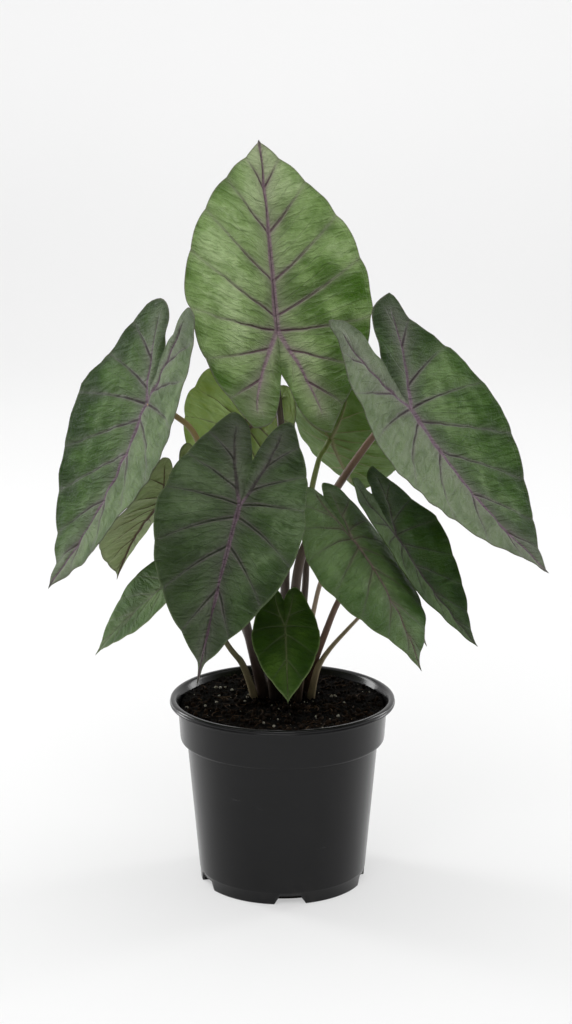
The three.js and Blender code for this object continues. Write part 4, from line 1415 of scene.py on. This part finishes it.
def scatter(name, seed, count, sizes, flatness, sink=0.25):
    """Copies of the ball: each is stretched, made uneven, turned and laid on the soil.
    Sizes run from the smallest to the largest as u^2.2, so most are small."""
    draw = np.random.default_rng(seed)
    ball, cells = ball_template()
    smallest, largest = sizes
    size = draw.uniform(0, 1, count) ** 2.2 * (largest - smallest) + smallest
    stretch = draw.uniform(flatness, 1.0, (count, 1, 3)) * size[:, None, None]
    knocked = ball[None] * (1 + draw.uniform(-0.22, 0.22, (count, len(ball), 1)))
    turned = np.einsum("nij,njk->nik", knocked * stretch, random_turns(draw, count))
    spots = free_spots(draw, count)
    level = soil_height(spots[:, 0], spots[:, 1]) + size * (0.75 - sink)
    points = turned + np.concatenate([spots, level[:, None]], axis=1)[:, None]
    triangles = (cells[None] + (np.arange(count) * len(ball))[:, None, None]).reshape(-1, 3)
    tones = np.repeat(draw.uniform(0, 1, count), len(ball))
    return make_piece(name, points.reshape(-1, 3), triangles, {"tone": tones}, weld=1e-4)


def scatter_fibres(name, seed, count, steps=7, around=5):
    """Thin bent strips of bark: a tapering tube of five sides along a short arc each."""
    draw = np.random.default_rng(seed)
    s = np.linspace(-1, 1, steps)
    turn = np.linspace(0, 2 * np.pi, around, endpoint=False)
    length = draw.uniform(2.0, 7.0, count)
    bend = draw.uniform(-0.5, 0.5, count) * length
    heading = draw.uniform(0, 2 * np.pi, count)
    rise = draw.uniform(-0.15, 0.25, count)
    thick = draw.uniform(0.18, 0.5, count)[:, None] * np.sqrt(1.02 - s**2)[None]
    along, across = length[:, None] * s, bend[:, None] * s**2
    lift = rise[:, None] * along
    side = np.cos(turn)[None, None] * thick[..., None] * 1.6
    up = np.sin(turn)[None, None] * thick[..., None] * 0.7
    flat_x = along[..., None] + 0 * side
    flat_y = across[..., None] + side
    spots = free_spots(draw, count, 70.0)
    cos, sin = np.cos(heading)[:, None, None], np.sin(heading)[:, None, None]
    x = spots[:, 0][:, None, None] + cos * flat_x - sin * flat_y
    y = spots[:, 1][:, None, None] + sin * flat_x + cos * flat_y
    ground = soil_height(spots[:, 0], spots[:, 1])[:, None, None]
    points = np.stack([x, y, ground + 0.9 + lift[..., None] + up], axis=-1)
    tube = grid_triangles(steps, around, wrap=True)
    fan = np.arange(1, around - 1)
    ends = [
        np.stack([np.zeros_like(fan), fan + 1, fan], axis=-1),
        np.stack([np.zeros_like(fan), fan, fan + 1], axis=-1) + (steps - 1) * around,
    ]
    cells = np.concatenate([tube, *ends])
    triangles = (cells[None] + (np.arange(count) * steps * around)[:, None, None]).reshape(-1, 3)
    tones = np.repeat(draw.uniform(0, 1, count), steps * around)
    return make_piece(name, points.reshape(-1, 3), triangles, {"tone": tones}, weld=1e-4)


# %% [markdown]
# ## One finish for everything earthy
#
# Peat, crumbs, perlite and bark are all dull and grainy. Each could have a finish of its
# own, but they differ only in tone, roughness, patches and grain. So one function makes
# all four.


# %% Give the soil and the loose pieces their finish
def earth_finish(name, dark, bright, patch_scale, roughness, grain):
    """A crumbly dull surface: two tones mixed by 0.7 times cloudy patches plus 0.4 times
    each loose piece's own tone, under a fine grain."""
    f = Finish(name)
    clouds = f.fit(f.noise(patch_scale, 4.0, 0.65), 0.35, 0.72)
    patches = f.plus(f.times(clouds, 0.7), f.times(f.kept("tone"), 0.4), clamp=True)
    mixed = f.blend(patches, dark, bright)
    fine = f.noise(1400, 3.0, 0.6)
    colour = f.blend(f.times(fine, 0.4), mixed, f.blend(0.6, mixed, dark))
    return f.done(f.skin(colour, roughness, f.bump(fine, grain, 0.8), 0.08))


# For each finish: its dark and bright tone, the scale of its patches, its roughness
# and the depth of its grain in metres.
EARTHS = {
    # Painted shade: peat and its crumbs are set far darker than the bare material, so their tones also
    # hold the shade under the leaves.
    "shaded_damp_peat": ((0.0012, 0.0009, 0.0006, 1), (0.0065, 0.0040, 0.0026, 1), 70, 0.9, 0.0006),
    "peat_crumb": ((0.0016, 0.0010, 0.0007, 1), (0.026, 0.0145, 0.0075, 1), 160, 0.9, 0.0005),
    "perlite_white": ((0.20, 0.18, 0.14, 1), (0.52, 0.50, 0.43, 1), 240, 0.8, 0.0002),
    "bark_brown": ((0.012, 0.007, 0.004, 1), (0.09, 0.052, 0.026, 1), 120, 0.8, 0.0003),
}
soil = make_soil()
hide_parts("soil")
earth_pieces = {
    "shaded_damp_peat": soil,
    "peat_crumb": scatter("peat_crumbs", 601, 900, (0.6, 2.6), 0.55),
    "perlite_white": scatter("perlite", 602, 90, (0.3, 1.5), 0.7, 0.5),
    "bark_brown": scatter_fibres("bark_fibres", 603, 150),
}
for finish, piece in earth_pieces.items():
    piece.data.materials.append(earth_finish(finish, *EARTHS[finish]))
print("triangles:", {piece.name: len(piece.data.polygons) for piece in earth_pieces.values()})
